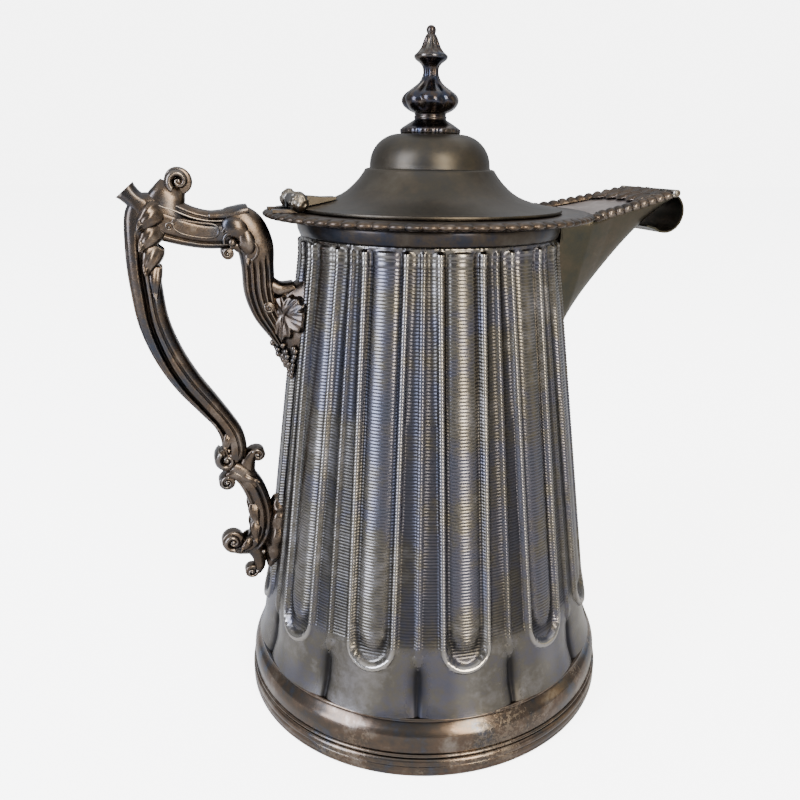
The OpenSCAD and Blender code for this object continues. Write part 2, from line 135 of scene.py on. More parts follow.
@dataclass(frozen=True)
class Plate:
    """Silver plate over white metal, as it looks after long use."""

    name: str
    slot: str
    clean: str
    tarnish: str
    hollow: str
    bright: str
    cool: str = "#39424f"
    warm: str = "#4a4036"
    rough: float = 0.32
    rough_spread: float = 0.12
    patch_mm: float = 38.0
    speckle: float = 0.0
    speckle_colour: str = "#b8b0a2"
    grain_mm: float = 0.8
    grain: float = 0.12
    spun: bool = False
    hollows: Hollows = Hollows.NONE

    def material(self) -> bpy.types.Material:
        """Return the finish's material, made once."""
        kept = bpy.data.materials.get(self.name)
        if kept is not None:
            return kept
        made = empty_material(self.name)
        tree = made.node_tree
        place = add_node(tree, "ShaderNodeTexCoord").outputs["Object"]
        # Tarnish lies in soft patches a few centimetres across, broken up by finer mottling.
        patches = add_node(tree, "ShaderNodeTexNoise", inputs={
            "Vector": place, "Scale": 1 / (self.patch_mm * MM), "Detail": 5.0, "Roughness": 0.62})
        mottle = add_node(tree, "ShaderNodeTexNoise", inputs={
            "Vector": place, "Scale": 1 / (4.0 * MM), "Detail": 4.0, "Roughness": 0.7})
        shares = [add_node(tree, "ShaderNodeMath", {"operation": "MULTIPLY"},
                           {0: noise.outputs["Fac"], 1: share}).outputs[0]
                  for noise, share in ((patches, 0.75), (mottle, 0.25))]
        blend = add_node(tree, "ShaderNodeMath", {"operation": "ADD"}, dict(enumerate(shares)))
        colour = add_node(tree, "ShaderNodeValToRGB", inputs={"Fac": blend.outputs[0]}, stops=[
            (0.34, self.cool), (0.45, self.tarnish), (0.54, self.warm), (0.66, self.clean)])
        rough = add_node(tree, "ShaderNodeMath", {"operation": "MULTIPLY_ADD"}, {
            0: mottle.outputs["Fac"], 1: self.rough_spread, 2: self.rough - 0.5 * self.rough_spread})
        colour, rough = self.wear(tree, colour.outputs["Color"], rough.outputs[0])
        colour, rough = self.spots(tree, place, colour, rough)
        normal = self.surface(tree, place)
        shader = add_node(tree, "ShaderNodeBsdfPrincipled", inputs={
            "Base Color": colour, "Metallic": 1.0, "Roughness": rough, "Normal": normal})
        add_node(tree, "ShaderNodeOutputMaterial", inputs={"Surface": shader.outputs[0]})
        return made

    def wear(self, tree: bpy.types.NodeTree, colour: bpy.types.NodeSocket,
             rough: bpy.types.NodeSocket) -> tuple[bpy.types.NodeSocket, bpy.types.NodeSocket]:
        """Darken the hollows with sulphide and brighten the rubbed high spots.

        Args:
            tree: The material's node tree.
            colour: Colour so far.
            rough: Roughness so far.

        Returns:
            The new colour and roughness sockets.
        """
        if self.hollows is Hollows.NONE:
            return colour, rough
        if self.hollows is Hollows.RELIEF:
            height = add_node(tree, "ShaderNodeAttribute", {"attribute_name": "relief"}).outputs["Fac"]
            low, high = (0.02, 0.42), (0.62, 1.0)
        else:
            height = add_node(tree, "ShaderNodeNewGeometry").outputs["Pointiness"]
            low, high = (0.42, 0.495), (0.53, 0.60)
        deep = add_node(tree, "ShaderNodeMapRange", {"interpolation_type": "SMOOTHSTEP"}, {
            "Value": height, "From Min": low[0], "From Max": low[1], "To Min": 1.0, "To Max": 0.0})
        rubbed = add_node(tree, "ShaderNodeMapRange", {"interpolation_type": "SMOOTHSTEP"}, {
            "Value": height, "From Min": high[0], "From Max": high[1]})
        # Each row: where it acts, share of its colour, its colour, and its change of roughness.
        for mask, share, tint, operation, change in ((deep, 0.85, self.hollow, "ADD", 0.18),
                                                     (rubbed, 0.55, self.bright, "SUBTRACT", 0.08)):
            factor, amount = (add_node(tree, "ShaderNodeMath", {"operation": "MULTIPLY"},
                                       {0: mask.outputs[0], 1: part}).outputs[0] for part in (share, change))
            colour = add_node(tree, "ShaderNodeMix", {"data_type": "RGBA"}, {
                "Factor": factor, "A": colour, "B": linear(tint)}).outputs["Result"]
            rough = add_node(tree, "ShaderNodeMath", {"operation": operation, "use_clamp": mask is rubbed},
                             {0: rough, 1: amount}).outputs[0]
        return colour, rough

    def spots(self, tree: bpy.types.NodeTree, place: bpy.types.NodeSocket, colour: bpy.types.NodeSocket,
              rough: bpy.types.NodeSocket) -> tuple[bpy.types.NodeSocket, bpy.types.NodeSocket]:
        """Add the worn specks where plate has gone and white metal shows.

        Args:
            tree: The material's node tree.
            place: Object coordinates.
            colour: Colour so far.
            rough: Roughness so far.

        Returns:
            The new colour and roughness sockets.
        """
        if self.speckle <= 0:
            return colour, rough
        fine = add_node(tree, "ShaderNodeTexNoise", inputs={
            "Vector": place, "Scale": 1 / (1.6 * MM), "Detail": 6.0, "Roughness": 0.8})
        where = add_node(tree, "ShaderNodeTexNoise", inputs={
            "Vector": place, "Scale": 1 / (26.0 * MM), "Detail": 2.0})
        amount = add_node(tree, "ShaderNodeMath", {"operation": "MULTIPLY"}, {
            0: fine.outputs["Fac"], 1: where.outputs["Fac"]}).outputs[0]
        mask = add_node(tree, "ShaderNodeMapRange", {"interpolation_type": "SMOOTHSTEP"}, {
            "Value": amount, "From Min": 0.30, "From Max": 0.36, "To Max": self.speckle})
        colour = add_node(tree, "ShaderNodeMix", {"data_type": "RGBA"}, {
            "Factor": mask.outputs[0], "A": colour,
            "B": linear(self.speckle_colour)}).outputs["Result"]
        rough = add_node(tree, "ShaderNodeMath", {"operation": "MULTIPLY_ADD"}, {
            0: mask.outputs[0], 1: 0.25, 2: self.rough}).outputs[0]
        return colour, rough

    def surface(self, tree: bpy.types.NodeTree, place: bpy.types.NodeSocket) -> bpy.types.NodeSocket:
        """Fine grain of handling marks, drawn out round the axis on a spun piece.

        Args:
            tree: The material's node tree.
            place: Object coordinates.

        Returns:
            The normal socket.
        """
        source = place
        if self.spun:
            split = add_node(tree, "ShaderNodeSeparateXYZ", inputs={"Vector": place})
            squares = [add_node(tree, "ShaderNodeMath", {"operation": "MULTIPLY"},
                                {0: split.outputs[axis], 1: split.outputs[axis]}).outputs[0] for axis in "XY"]
            total = add_node(tree, "ShaderNodeMath", {"operation": "ADD"}, dict(enumerate(squares)))
            radius = add_node(tree, "ShaderNodeMath", {"operation": "SQRT"}, {0: total.outputs[0]})
            drift = add_node(tree, "ShaderNodeMath", {"operation": "MULTIPLY"},
                             {0: split.outputs["X"], 1: 0.04})
            source = add_node(tree, "ShaderNodeCombineXYZ", inputs={
                "X": radius.outputs[0], "Y": drift.outputs[0], "Z": split.outputs["Z"]}).outputs[0]
        grain = add_node(tree, "ShaderNodeTexNoise", inputs={
            "Vector": source, "Scale": 1 / (self.grain_mm * MM), "Detail": 3.0, "Roughness": 0.6})
        dents = add_node(tree, "ShaderNodeTexNoise", inputs={
            "Vector": place, "Scale": 1 / (14.0 * MM), "Detail": 2.0})
        fine = add_node(tree, "ShaderNodeBump", inputs={
            "Strength": self.grain, "Distance": 0.05 * MM, "Height": grain.outputs["Fac"]})
        return add_node(tree, "ShaderNodeBump", inputs={
            "Strength": 0.35, "Distance": 0.6 * MM, "Height": dents.outputs["Fac"],
            "Normal": fine.outputs[0]}).outputs[0]


@dataclass(frozen=True)
class Enamel:
    """Glazed enamel inside the liner: a smooth pale coat with faint crazing and water stain."""

    name: str = "glazed_white_enamel"
    slot: str = "liner_enamel"

    def material(self) -> bpy.types.Material:
        """Return the finish's material, made once."""
        kept = bpy.data.materials.get(self.name)
        if kept is not None:
            return kept
        made = empty_material(self.name)
        tree = made.node_tree
        place = add_node(tree, "ShaderNodeTexCoord").outputs["Object"]
        stain = add_node(tree, "ShaderNodeTexNoise", inputs={
            "Vector": place, "Scale": 1 / (30 * MM), "Detail": 4.0})
        colour = add_node(tree, "ShaderNodeValToRGB", inputs={"Fac": stain.outputs["Fac"]},
                          stops=[(0.35, "#b9ad93"), (0.6, "#dcd8cc")]).outputs["Color"]
        crazing = add_node(tree, "ShaderNodeTexVoronoi", {"feature": "DISTANCE_TO_EDGE"}, {
            "Vector": place, "Scale": 1 / (5 * MM)})
        bump = add_node(tree, "ShaderNodeBump", inputs={
            "Strength": 0.15, "Distance": 0.05 * MM, "Height": crazing.outputs["Distance"]})
        shader = add_node(tree, "ShaderNodeBsdfPrincipled", inputs={
            "Base Color": colour, "Roughness": 0.18, "Normal": bump.outputs[0]})
        add_node(tree, "ShaderNodeOutputMaterial", inputs={"Surface": shader.outputs[0]})
        return made


# Pressed and reeded silver plate: dark blue-grey sulphide with the crests rubbed bright.
BODY_PLATE = Plate("pressed_reeded_silver_plate", "body_plate", clean="#757271", tarnish="#54535a",
                   hollow="#0e0f13", bright="#b5b0a8", cool="#50525a", warm="#5a564e", rough=0.25,
                   rough_spread=0.12, hollows=Hollows.RELIEF)
# Spun foot band, glossy and pitted where the plate has worn off.
FOOT_PLATE = Plate("spun_worn_silver_plate", "foot_plate", clean="#82796f", tarnish="#4d4741",
                   hollow="#0b0a0a", bright="#9a9184", cool="#495160", warm="#5d4f43", rough=0.22,
                   patch_mm=22, speckle=0.32, speckle_colour="#9a8b77", spun=True,
                   hollows=Hollows.POINTINESS)
# Spun lid, dulled to an even warm satin.
LID_PLATE = Plate("spun_satin_silver_plate", "lid_plate", clean="#4d483f", tarnish="#403c35",
                  hollow="#24211e", bright="#6f675c", cool="#3b3936", warm="#464037", rough=0.42,
                  rough_spread=0.10, patch_mm=22, grain=0.4, spun=True)
# Hammered spout sheet, satin.
SPOUT_PLATE = Plate("beaten_satin_silver_plate", "spout_plate", clean="#5c554a", tarnish="#444136",
                    hollow="#1d1b18", bright="#857d70", cool="#3b3c36", warm="#4c4539", rough=0.38,
                    patch_mm=24)
# Smooth cover sheet of the spout, pinkish grey.
COVER_PLATE = Plate("planished_silver_plate", "spout_plate", clean="#c2b7b3", tarnish="#a49a96",
                    hollow="#2b2625", bright="#a09693", cool="#97908c", warm="#a99e96", rough=0.40,
                    patch_mm=14)
# Cast and chased ornament: brown-grey with black hollows and rubbed edges.
CAST_PLATE = Plate("cast_chased_silver_plate", "cast_plate", clean="#6c635b", tarnish="#433f3d",
                   hollow="#070606", bright="#a39a90", cool="#3b3e45", warm="#50453b", rough=0.27,
                   patch_mm=14, hollows=Hollows.POINTINESS)
# Gadrooned border, browner and duller.
BORDER_PLATE = Plate("chased_border_silver_plate", "cast_plate", clean="#62574d", tarnish="#3f3730",
                     hollow="#080605", bright="#968b80", cool="#393532", warm="#4b3f34", rough=0.36,
                     patch_mm=12, hollows=Hollows.POINTINESS)
# Turned finial, darker and glossier.
FINIAL_PLATE = Plate("turned_silver_plate", "finial_plate", clean="#5d5a56", tarnish="#34343a",
                     hollow="#08080a", bright="#a09a92", cool="#2e3443", warm="#433a34", rough=0.22,
                     patch_mm=8, hollows=Hollows.POINTINESS)
# Handled hinge metal, rubbed clean.
HINGE_PLATE = Plate("rubbed_silver_plate", "hinge_plate_silver", clean="#8c877d", tarnish="#605c55",
                    hollow="#141312", bright="#a9a296", cool="#55565a", warm="#6b6357", rough=0.36,
                    patch_mm=6, hollows=Hollows.POINTINESS)
# Plate of the neck, with the rim's shade painted in as colours darker than the body's.
NECK_SHADE_PAINTED_PLATE = Plate("neck_rim_shade_painted_plate", "body_plate", clean="#47433d", tarnish="#2d2e34",
                   hollow="#0c0c0e", bright="#5b554d", cool="#272c35", warm="#3c3630", rough=0.3,
                   patch_mm=20)
ENAMEL = Enamel()


# ------------------------------------------------------------------ mesh tools


def spun(outline: Sequence[tuple[float, float]], steps: int) -> bmesh.types.BMesh:
    """Spin a closed outline a full turn about the body's axis.

    Args:
        outline: Points as radius and height in millimetres. The last joins the first.
        steps: Number of steps round the turn.

    Returns:
        A closed mesh in millimetres.
    """
    bm = bmesh.new()
    verts = [bm.verts.new((r, 0.0, z)) for r, z in outline]
    edges = [bm.edges.new((a, b)) for a, b in zip(verts, verts[1:] + verts[:1])
             if not (a.co.x < 1e-6 and b.co.x < 1e-6)]
    bmesh.ops.spin(bm, geom=verts + edges, cent=(0, 0, 0), axis=(0, 0, 1), dvec=(0, 0, 0),
                   angle=TAU, steps=steps, use_merge=True, use_normal_flip=False,
                   use_duplicate=False)
    bmesh.ops.remove_doubles(bm, verts=bm.verts, dist=SAME_MM)
    return bm


def skin(bm: bmesh.types.BMesh, across: int, along: int, place: Callable[[float, float], Point],
         tube: bool = True) -> list[bmesh.types.BMVert]:
    """Bend a grid over a surface.

    Args:
        bm: Mesh that takes the new faces.
        across: Faces round the section.
        along: Faces along the run.
        place: Position for u round the section and t along the run, both from 0 to 1.
        tube: Whether u = 1 meets u = 0, and the two ends are then capped.

    Returns:
        The new vertices.
    """
    made = bmesh.ops.create_grid(bm, x_segments=across, y_segments=along, size=0.5)["verts"]
    for vert in made:
        vert.co = place(vert.co.x + 0.5, vert.co.y + 0.5)
    if tube:
        bmesh.ops.remove_doubles(bm, verts=made, dist=SAME_MM)
        made = [v for v in made if v.is_valid]
        open_edges = list({e for v in made for e in v.link_edges if e.is_boundary})
        if open_edges:
            bmesh.ops.holes_fill(bm, edges=open_edges, sides=0)
    return made


def ball(bm: bmesh.types.BMesh, centre: Point, radii: Point, turn: Optional[Matrix] = None,
         segments: int = 16, rings: int = 10) -> None:
    """Add an ellipsoid.

    Args:
        bm: Mesh that takes it.
        centre: Its middle, in millimetres.
        radii: Half lengths along its own axes.
        turn: Rotation of its own axes.
        segments: Faces round it.
        rings: Faces from pole to pole.
    """
    turned = turn.to_4x4() if turn else Matrix()
    matrix = Matrix.Translation(centre) @ turned @ Matrix.Diagonal((*radii, 1.0))
    bmesh.ops.create_uvsphere(bm, u_segments=segments, v_segments=rings, radius=1.0, matrix=matrix)


def smooth_curve(stations: Sequence[Sequence[float]], t: float) -> list[float]:
    """Point of a smooth curve through evenly counted stations.

    Args:
        stations: Rows of numbers, such as place and half sizes.
        t: From 0 at the first station to 1 at the last.

    Returns:
        The row at t.
    """
    last = len(stations) - 1
    i = min(int(t * last), last - 1)
    f = t * last - i
    a, b, c, d = (stations[k] for k in (max(i - 1, 0), i, i + 1, min(i + 2, last)))
    return [0.5 * (2 * q + (r - p) * f + (2 * p - 5 * q + 4 * r - s) * f * f
                   + (3 * q - p - 3 * r + s) * f ** 3) for p, q, r, s in zip(a, b, c, d)]


def cone_radius(z: "float | np.ndarray") -> "float | np.ndarray":
    """Radius of the body's plain cone at a height."""
    return WALL_TOP_R + WALL_TAPER * (WALL_TOP_Z - z)


def wall_back(y: float, z: float) -> float:
    """Place along X of the body's cone on the handle's side."""
    return -math.sqrt(cone_radius(z) ** 2 - y * y)


def peg(bm: bmesh.types.BMesh, centre: Point, radius: float, length: float,
        segments: int) -> list[bmesh.types.BMVert]:
    """Add a capped cylinder that lies across the plane of spout and handle, and return its vertices."""
    lying = Matrix.Translation(centre) @ Matrix.Rotation(math.pi / 2, 4, "X")
    return bmesh.ops.create_cone(bm, cap_ends=True, segments=segments, radius1=radius, radius2=radius,
                                 depth=length, matrix=lying)["verts"]


def blend01(value: float, low: float, high: float) -> float:
    """Smooth step from 0 at low to 1 at high."""
    x = min(1.0, max(0.0, (value - low) / (high - low)))
    return x * x * (3 - 2 * x)


def face_out(bm: bmesh.types.BMesh, way: Callable[[Vector], Vector]) -> None:
    """Turn an open sheet so that its faces look along a direction.

    Args:
        bm: Mesh of one sheet.
        way: Wanted direction for the middle of a face.
    """
    bmesh.ops.recalc_face_normals(bm, faces=bm.faces)
    if sum(face.normal.dot(way(face.calc_center_median())) for face in bm.faces) < 0:
        bmesh.ops.reverse_faces(bm, faces=bm.faces)


def plain_section(angle: float, t: float) -> tuple[float, float]:
    """Unit ellipse: height and width factors of a bar's section."""
    return math.cos(angle), math.sin(angle)


def bar(bm: bmesh.types.BMesh, stations: Sequence[Sequence[float]], section: Section = plain_section,
        sides: int = 24, rings: int = 40, y: float = 0.0) -> None:
    """Bend a bar along a line in the plane of spout and handle.

    Args:
        bm: Mesh that takes it.
        stations: Rows of x, z, half height in the plane and half width across it.
        section: Factors of half height and half width for an angle and a place along the bar.
        sides: Faces round the bar.
        rings: Faces along it.
        y: Offset of the bar's line across the plane.
    """
    def place(u: float, t: float) -> Point:
        """Point on the surface at u and t."""
        x, z, high, wide = smooth_curve(stations, t)
        ahead = smooth_curve(stations, min(t + 0.004, 1.0))
        behind = smooth_curve(stations, max(t - 0.004, 0.0))
        run = Vector((ahead[0] - behind[0], ahead[1] - behind[1])).normalized()
        up, side = section(TAU * u, t)
        return x - run.y * high * up, y + wide * side, z + run.x * high * up

    skin(bm, sides, rings, place)


def volute(bm: bmesh.types.BMesh, x: float, z: float, radius: float, half: float, start: float,
           turns: float = 1.4, hand: int = 1, thick: float = 0.27, floor: float = 0.72) -> None:
    """Add a rolled scroll end: a spiral fillet on both faces, a sunk floor and a round eye.

    Args:
        bm: Mesh that takes it.
        x: Centre along the spout axis.
        z: Height of the centre.
        radius: Outer radius.
        half: Half width across the plane.
        start: Angle in degrees where the fillet joins its bar.
        turns: Turns of the fillet.
        hand: 1 for anticlockwise inwards in the XZ plane, -1 for clockwise.
        thick: Fillet's half thickness over the radius.
        floor: Width of the sunk floor over the full width.
    """
    def place(u: float, t: float) -> Point:
        """Point on the surface at u and t."""
        shrink = 1 - 0.80 * t ** 0.85
        fat = radius * thick * (0.35 + 0.65 * shrink)
        at = math.radians(start) + hand * t * turns * TAU
        ring = (radius - radius * thick) * shrink + fat * math.cos(TAU * u)
        side = math.sin(TAU * u)
        return (x + ring * math.cos(at), half * (1 - 0.12 * t) * math.copysign(abs(side) ** 0.55, side),
                z + ring * math.sin(at))

    skin(bm, 14, int(30 * turns), place)
    core = peg(bm, (x, 0, z), radius * 0.86, 2 * half * floor, 28)
    rim = list({e for v in core for e in v.link_edges if len(e.link_faces) == 2
                and abs(e.verts[0].co.y - e.verts[1].co.y) < 1e-6})
    bmesh.ops.bevel(bm, geom=rim, offset=radius * 0.12, segments=2, profile=0.5, affect="EDGES",
                    material=-1)
    for side in (-1, 1):
        ball(bm, (x, side * half * floor, z), (radius * 0.24, half * 0.3, radius * 0.24), None, 14, 8)


def finish_piece(name: str, bm: bmesh.types.BMesh, body: Body, plate: "Plate | Enamel",
                 replaced: Iterable[str] = (), outward: bool = True,
                 relief: Optional[Sequence[float]] = None) -> bpy.types.Object:
    """Turn a mesh in millimetres to a piece of the pitcher.

    Args:
        name: The piece's name.
        bm: Its mesh, which is freed.
        body: The rigid body that it rides on.
        plate: Its finish.
        replaced: CAD nodes that it stands for.
        outward: Whether to set the faces' normals outwards.
        relief: Height of each vertex from 0 in the hollows to 1 on the crests.

    Returns:
        The new object.
    """
    if outward:
        bmesh.ops.recalc_face_normals(bm, faces=bm.faces)
    bmesh.ops.scale(bm, vec=(MM, MM, MM), verts=bm.verts)
    mesh = bpy.data.meshes.new(name)
    bm.to_mesh(mesh)
    bm.free()
    mesh.polygons.foreach_set("use_smooth", [True] * len(mesh.polygons))
    if relief is not None:
        mesh.attributes.new("relief", "FLOAT", "POINT").data.foreach_set("value", relief)
    piece = bpy.data.objects.new(name, mesh)
    bpy.context.scene.collection.objects.link(piece)
    mesh.materials.append(plate.material())
    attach(piece, body.value)
    if replaced:
        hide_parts(*replaced)
    LOG.info("%-18s %7d faces on %s", name, len(mesh.polygons), body.value)
    return piece


def sharp_corners(piece: bpy.types.Object, degrees: float = 40.0) -> None:
    """Keep corners over an angle crisp in the piece's shading."""
    piece.data.set_sharp_from_angle(angle=math.radians(degrees))


# ------------------------------------------------------------------ body


@dataclass
class FlutedBody:
    """Pressed cone of the body: lobed apron, reeded flutes in U-shaped beads, and a plain top band."""

    wall: float = 1.2
    flutes: int = 12
    phase: float = 175.0
    columns: int = 36
    bead_half: float = 1.75
    bead_rise: float = 1.7
    sink: float = 0.6
    u_foot_z: float = 50.0
    bead_out: float = 10.3
    bead_out_z: float = 69.0
    bead_lean: float = 0.0089
    dome_share: float = 0.68
    dome_rise: float = 1.9
    rib_rise: float = 1.2
    ground_in: float = 0.95
    ground_out: float = 0.55
    apron_swell: float = 2.5
    rolls: int = 216
    reed_low: float = 58.0
    reed_high: float = 224.5
    reed_pitch: float = 1.45
    reed_depth: float = 0.36
    port_half: float = 10.5
    port_low: float = 198.5
    port_high: float = 226.5
    # Every joint between two bands lies on the crest of a reed, where it doesn't show.
    bands: tuple[float, ...] = (28.0, 108.025, 163.125, 232.0)

    def radius(self, z: np.ndarray) -> np.ndarray:
        """Plain outer radius of the wall at a height."""
        return cone_radius(z) + 0.027 * np.maximum(0.0, 40.0 - z) ** 1.7

    def relief(self, angle: np.ndarray, z: np.ndarray) -> np.ndarray:
        """Height of the pressed pattern above the plain wall.

        Args:
            angle: Angles round the axis in radians.
            z: Heights in millimetres.

        Returns:
            Heights in millimetres.
        """
        def ease(x: np.ndarray, low: float, high: float) -> np.ndarray:
            """Smooth step from 0 at low to 1 at high."""
            x = np.clip((x - low) / (high - low), 0.0, 1.0)
            return x * x * (3 - 2 * x)

        step = TAU / self.flutes
        off = (angle - math.radians(self.phase) + step / 2) % step - step / 2
        r = self.radius(z)
        u = np.abs(off) * r
        gap = step * r / 2 - u
        offset = self.bead_out - self.bead_lean * (z - self.bead_out_z)
        centre_z = self.u_foot_z + 10.4
        below = np.minimum(0.0, z - centre_z)
        ring = np.hypot(u, below)
        bead = self.bead_rise * np.sqrt(np.clip(1 - ((ring - offset) / self.bead_half) ** 2, 0, 1))
        inside = ease(offset - ring, 0.6, 2.6)
        outside = ease(ring - offset, 0.8, 2.6)
        half = self.dome_share * offset * np.sqrt(np.clip((z - 55.5) / 13.0, 0.001, 1))
        crown = self.dome_rise * np.sqrt(np.clip(1 - (u / half) ** 2, 0, 1)) * ease(z, 55.5, 63)
        rib_half = 1.5 * np.clip((z - 47.0) / 9.0, 0.001, 1) + 0.9 * np.exp(-((z - 54.0) / 1.8) ** 2)
        rib = self.rib_rise * np.sqrt(np.clip(1 - (gap / rib_half) ** 2, 0, 1)) * ease(z, 47.5, 52.0)
        ground = -self.ground_in * inside - self.ground_out * outside * ease(z, 54.0, 66.0)
        height = bead + ground + inside * crown + rib
        x = u / (u + gap)
        apron = self.apron_swell * (0.3 - x ** 2) * (1 - ease(z, 46.0, 62.0))
        apron *= 1 - 0.25 * ease(z, 38.0, 28.0)
        pinch = -0.8 * np.exp(-(gap / 1.3) ** 2) * (1 - ease(z, 45.0, 52.0))
        reed = np.abs(np.sin(math.pi * (z - self.reed_low) / self.reed_pitch)) ** 0.8
        low = np.where(ring < offset - 2, -4.0, 2.0)
        reed_on = ease(z - low, self.reed_low - 1.0, self.reed_low + 2.0)
        reed_on *= 1 - ease(z, self.reed_high - 1, self.reed_high)
        lines = -0.3 * (np.exp(-((z - 226.0) / 0.35) ** 2) + np.exp(-((z - 227.3) / 0.35) ** 2))
        fade = 1 - ease(z, 229.4, 230.6)
        rolled = 0.45 * np.sqrt(np.clip(1 - ((z - 231.3) / 0.7) ** 2, 0, 1))
        rolled *= 0.75 + 0.25 * np.cos(self.rolls * angle)
        settle = self.sink * ease(z, 50.0, 62.0) * (1 - ease(z, 222.0, 230.0))
        reeds = self.reed_depth * (1 - reed) * reed_on
        return height * fade + apron + pinch - reeds + rolled + lines - settle

    def gathered(self, angle: np.ndarray) -> np.ndarray:
        """Even angles moved so that most columns of a flute lie on its bead."""
        step = TAU / self.flutes
        off = (angle - math.radians(self.phase) + step / 2) % step - step / 2
        share = np.interp(2 * np.abs(off) / step, [0, 5 / 18, 13 / 18, 15 / 18, 1],
                          [0, 0.40, 0.653, 0.893, 1])
        return angle - off + np.sign(off) * share * step / 2

    def rows(self, low: float, high: float) -> list[float]:
        """Heights of the rows of a band: four for each reed, or 0.55 mm apart where plain."""
        rows = []
        z = low
        while z < high - 1e-6:
            rows.append(z)
            reeded = self.reed_low - 5 <= z < self.reed_high
            z += self.reed_pitch / 4 if reeded else 0.55
        rows.append(high)
        return rows

    def band(self, index: int) -> bpy.types.Object:
        """Build one band of the wall as a closed ring.

        Args:
            index: Which band, from the foot up.

        Returns:
            The band's piece.
        """
        low, high = self.bands[index], self.bands[index + 1]
        rows = self.rows(low, high)
        outer = [(float(self.radius(np.float64(z))), z) for z in rows]
        inset = self.wall + (2.8 if index == 0 else 1.9)
        inner = [(float(self.radius(np.float64(z))) - inset, z)
                 for z in (high, 0.5 * (low + high), low)]
        bm = spun(outer + inner, self.flutes * self.columns)
        if index == len(self.bands) - 2:
            self.cut_port(bm)
        bmesh.ops.recalc_face_normals(bm, faces=bm.faces)
        co = np.array([v.co for v in bm.verts])
        radius = np.hypot(co[:, 0], co[:, 1])
        angle = self.gathered(np.arctan2(co[:, 1], co[:, 0]))
        skin_part = radius > self.radius(co[:, 2]) - 0.9
        lift = np.where(skin_part, self.relief(angle, co[:, 2]), 0.0)
        for vert, r, a in zip(bm.verts, radius + lift, angle):
            vert.co.x = r * math.cos(a)
            vert.co.y = r * math.sin(a)
        heights = np.clip((lift + self.sink + 1.3) / 3.6, 0, 1)
        for edge in bm.edges:
            flat = [abs(face.normal.z) > 0.98 and face.calc_center_median().z in (low, high)
                    for face in edge.link_faces]
            edge.smooth = len(flat) < 2 or flat[0] == flat[1]
        name = ("body_flutes_low", "body_flutes_mid", "body_flutes_top")[index]
        return finish_piece(name, bm, Body.PITCHER, BODY_PLATE, ["body_shell"], False, heights)

    def cut_port(self, bm: bmesh.types.BMesh) -> None:
        """Open the port behind the spout through both skins and close its edge."""
        doomed = []
        for face in bm.faces:
            c = face.calc_center_median()
            if c.x > 0 and abs(c.y) < self.port_half and self.port_low < c.z < self.port_high:
                doomed.append(face)
        bmesh.ops.delete(bm, geom=doomed, context="FACES")
        edge = [e for e in bm.edges if e.is_boundary]
        if edge:
            bmesh.ops.bridge_loops(bm, edges=edge)

    def build(self) -> None:
        """Build every band of the wall."""
        for index in range(len(self.bands) - 1):
            self.band(index)


@dataclass
class Foot:
    """Spun foot: grooved rest band, a double line, a polished ogee and a bead under the body."""

    r: float = 94.2
    height: float = 27.0

    def outline(self) -> list[tuple[float, float]]:
        """Closed outline of the foot, round stretches as arcs."""
        r = self.r
        points = [(r - 1.8, 0.0), (r - 0.9, 0.4), (r - 0.3, 1.2), (r, 2.2), (r - 0.25, 2.9), (r, 3.6),
                  (r, 5.6), (r - 0.3, 6.1), (r, 6.6), (r - 0.1, 8.2), (r - 0.5, 9.0), (r - 1.0, 9.4),
                  (r - 1.7, 9.6), (r - 1.7, 10.0), (r - 1.1, 10.3), (r - 0.9, 10.8), (r - 1.1, 11.3),
                  (r - 2.0, 11.6), (r - 2.0, 12.0), (r - 1.6, 12.3), (r - 1.5, 13.0)]
        points += [(r - 6.4 + 5.0 * math.cos(a), 16.6 + 7.8 * math.sin(a))
                   for a in (math.radians(d) for d in range(-10, 66, 8))]
        points += [(r - 4.9, 24.6), (r - 5.4, 25.4), (r - 5.7, 26.0)]
        points += [(r - 5.9 + 1.0 * math.cos(a), 27.1 + 1.0 * math.sin(a))
                   for a in (math.radians(d) for d in range(-60, 121, 20))]
        points += [(r - 7.4, 28.1), (r - 9.4, 28.2), (r - 9.4, 26.8), (r - 6.9, 25), (r - 5.6, 14),
                   (r - 4.6, 8), (r - 4.6, 0)]
        return points

    def build(self) -> None:
        """Spin the foot."""
        piece = finish_piece("foot_band", spun(self.outline(), 256), Body.PITCHER, FOOT_PLATE, ["foot_ring"])
        sharp_corners(piece, 50)


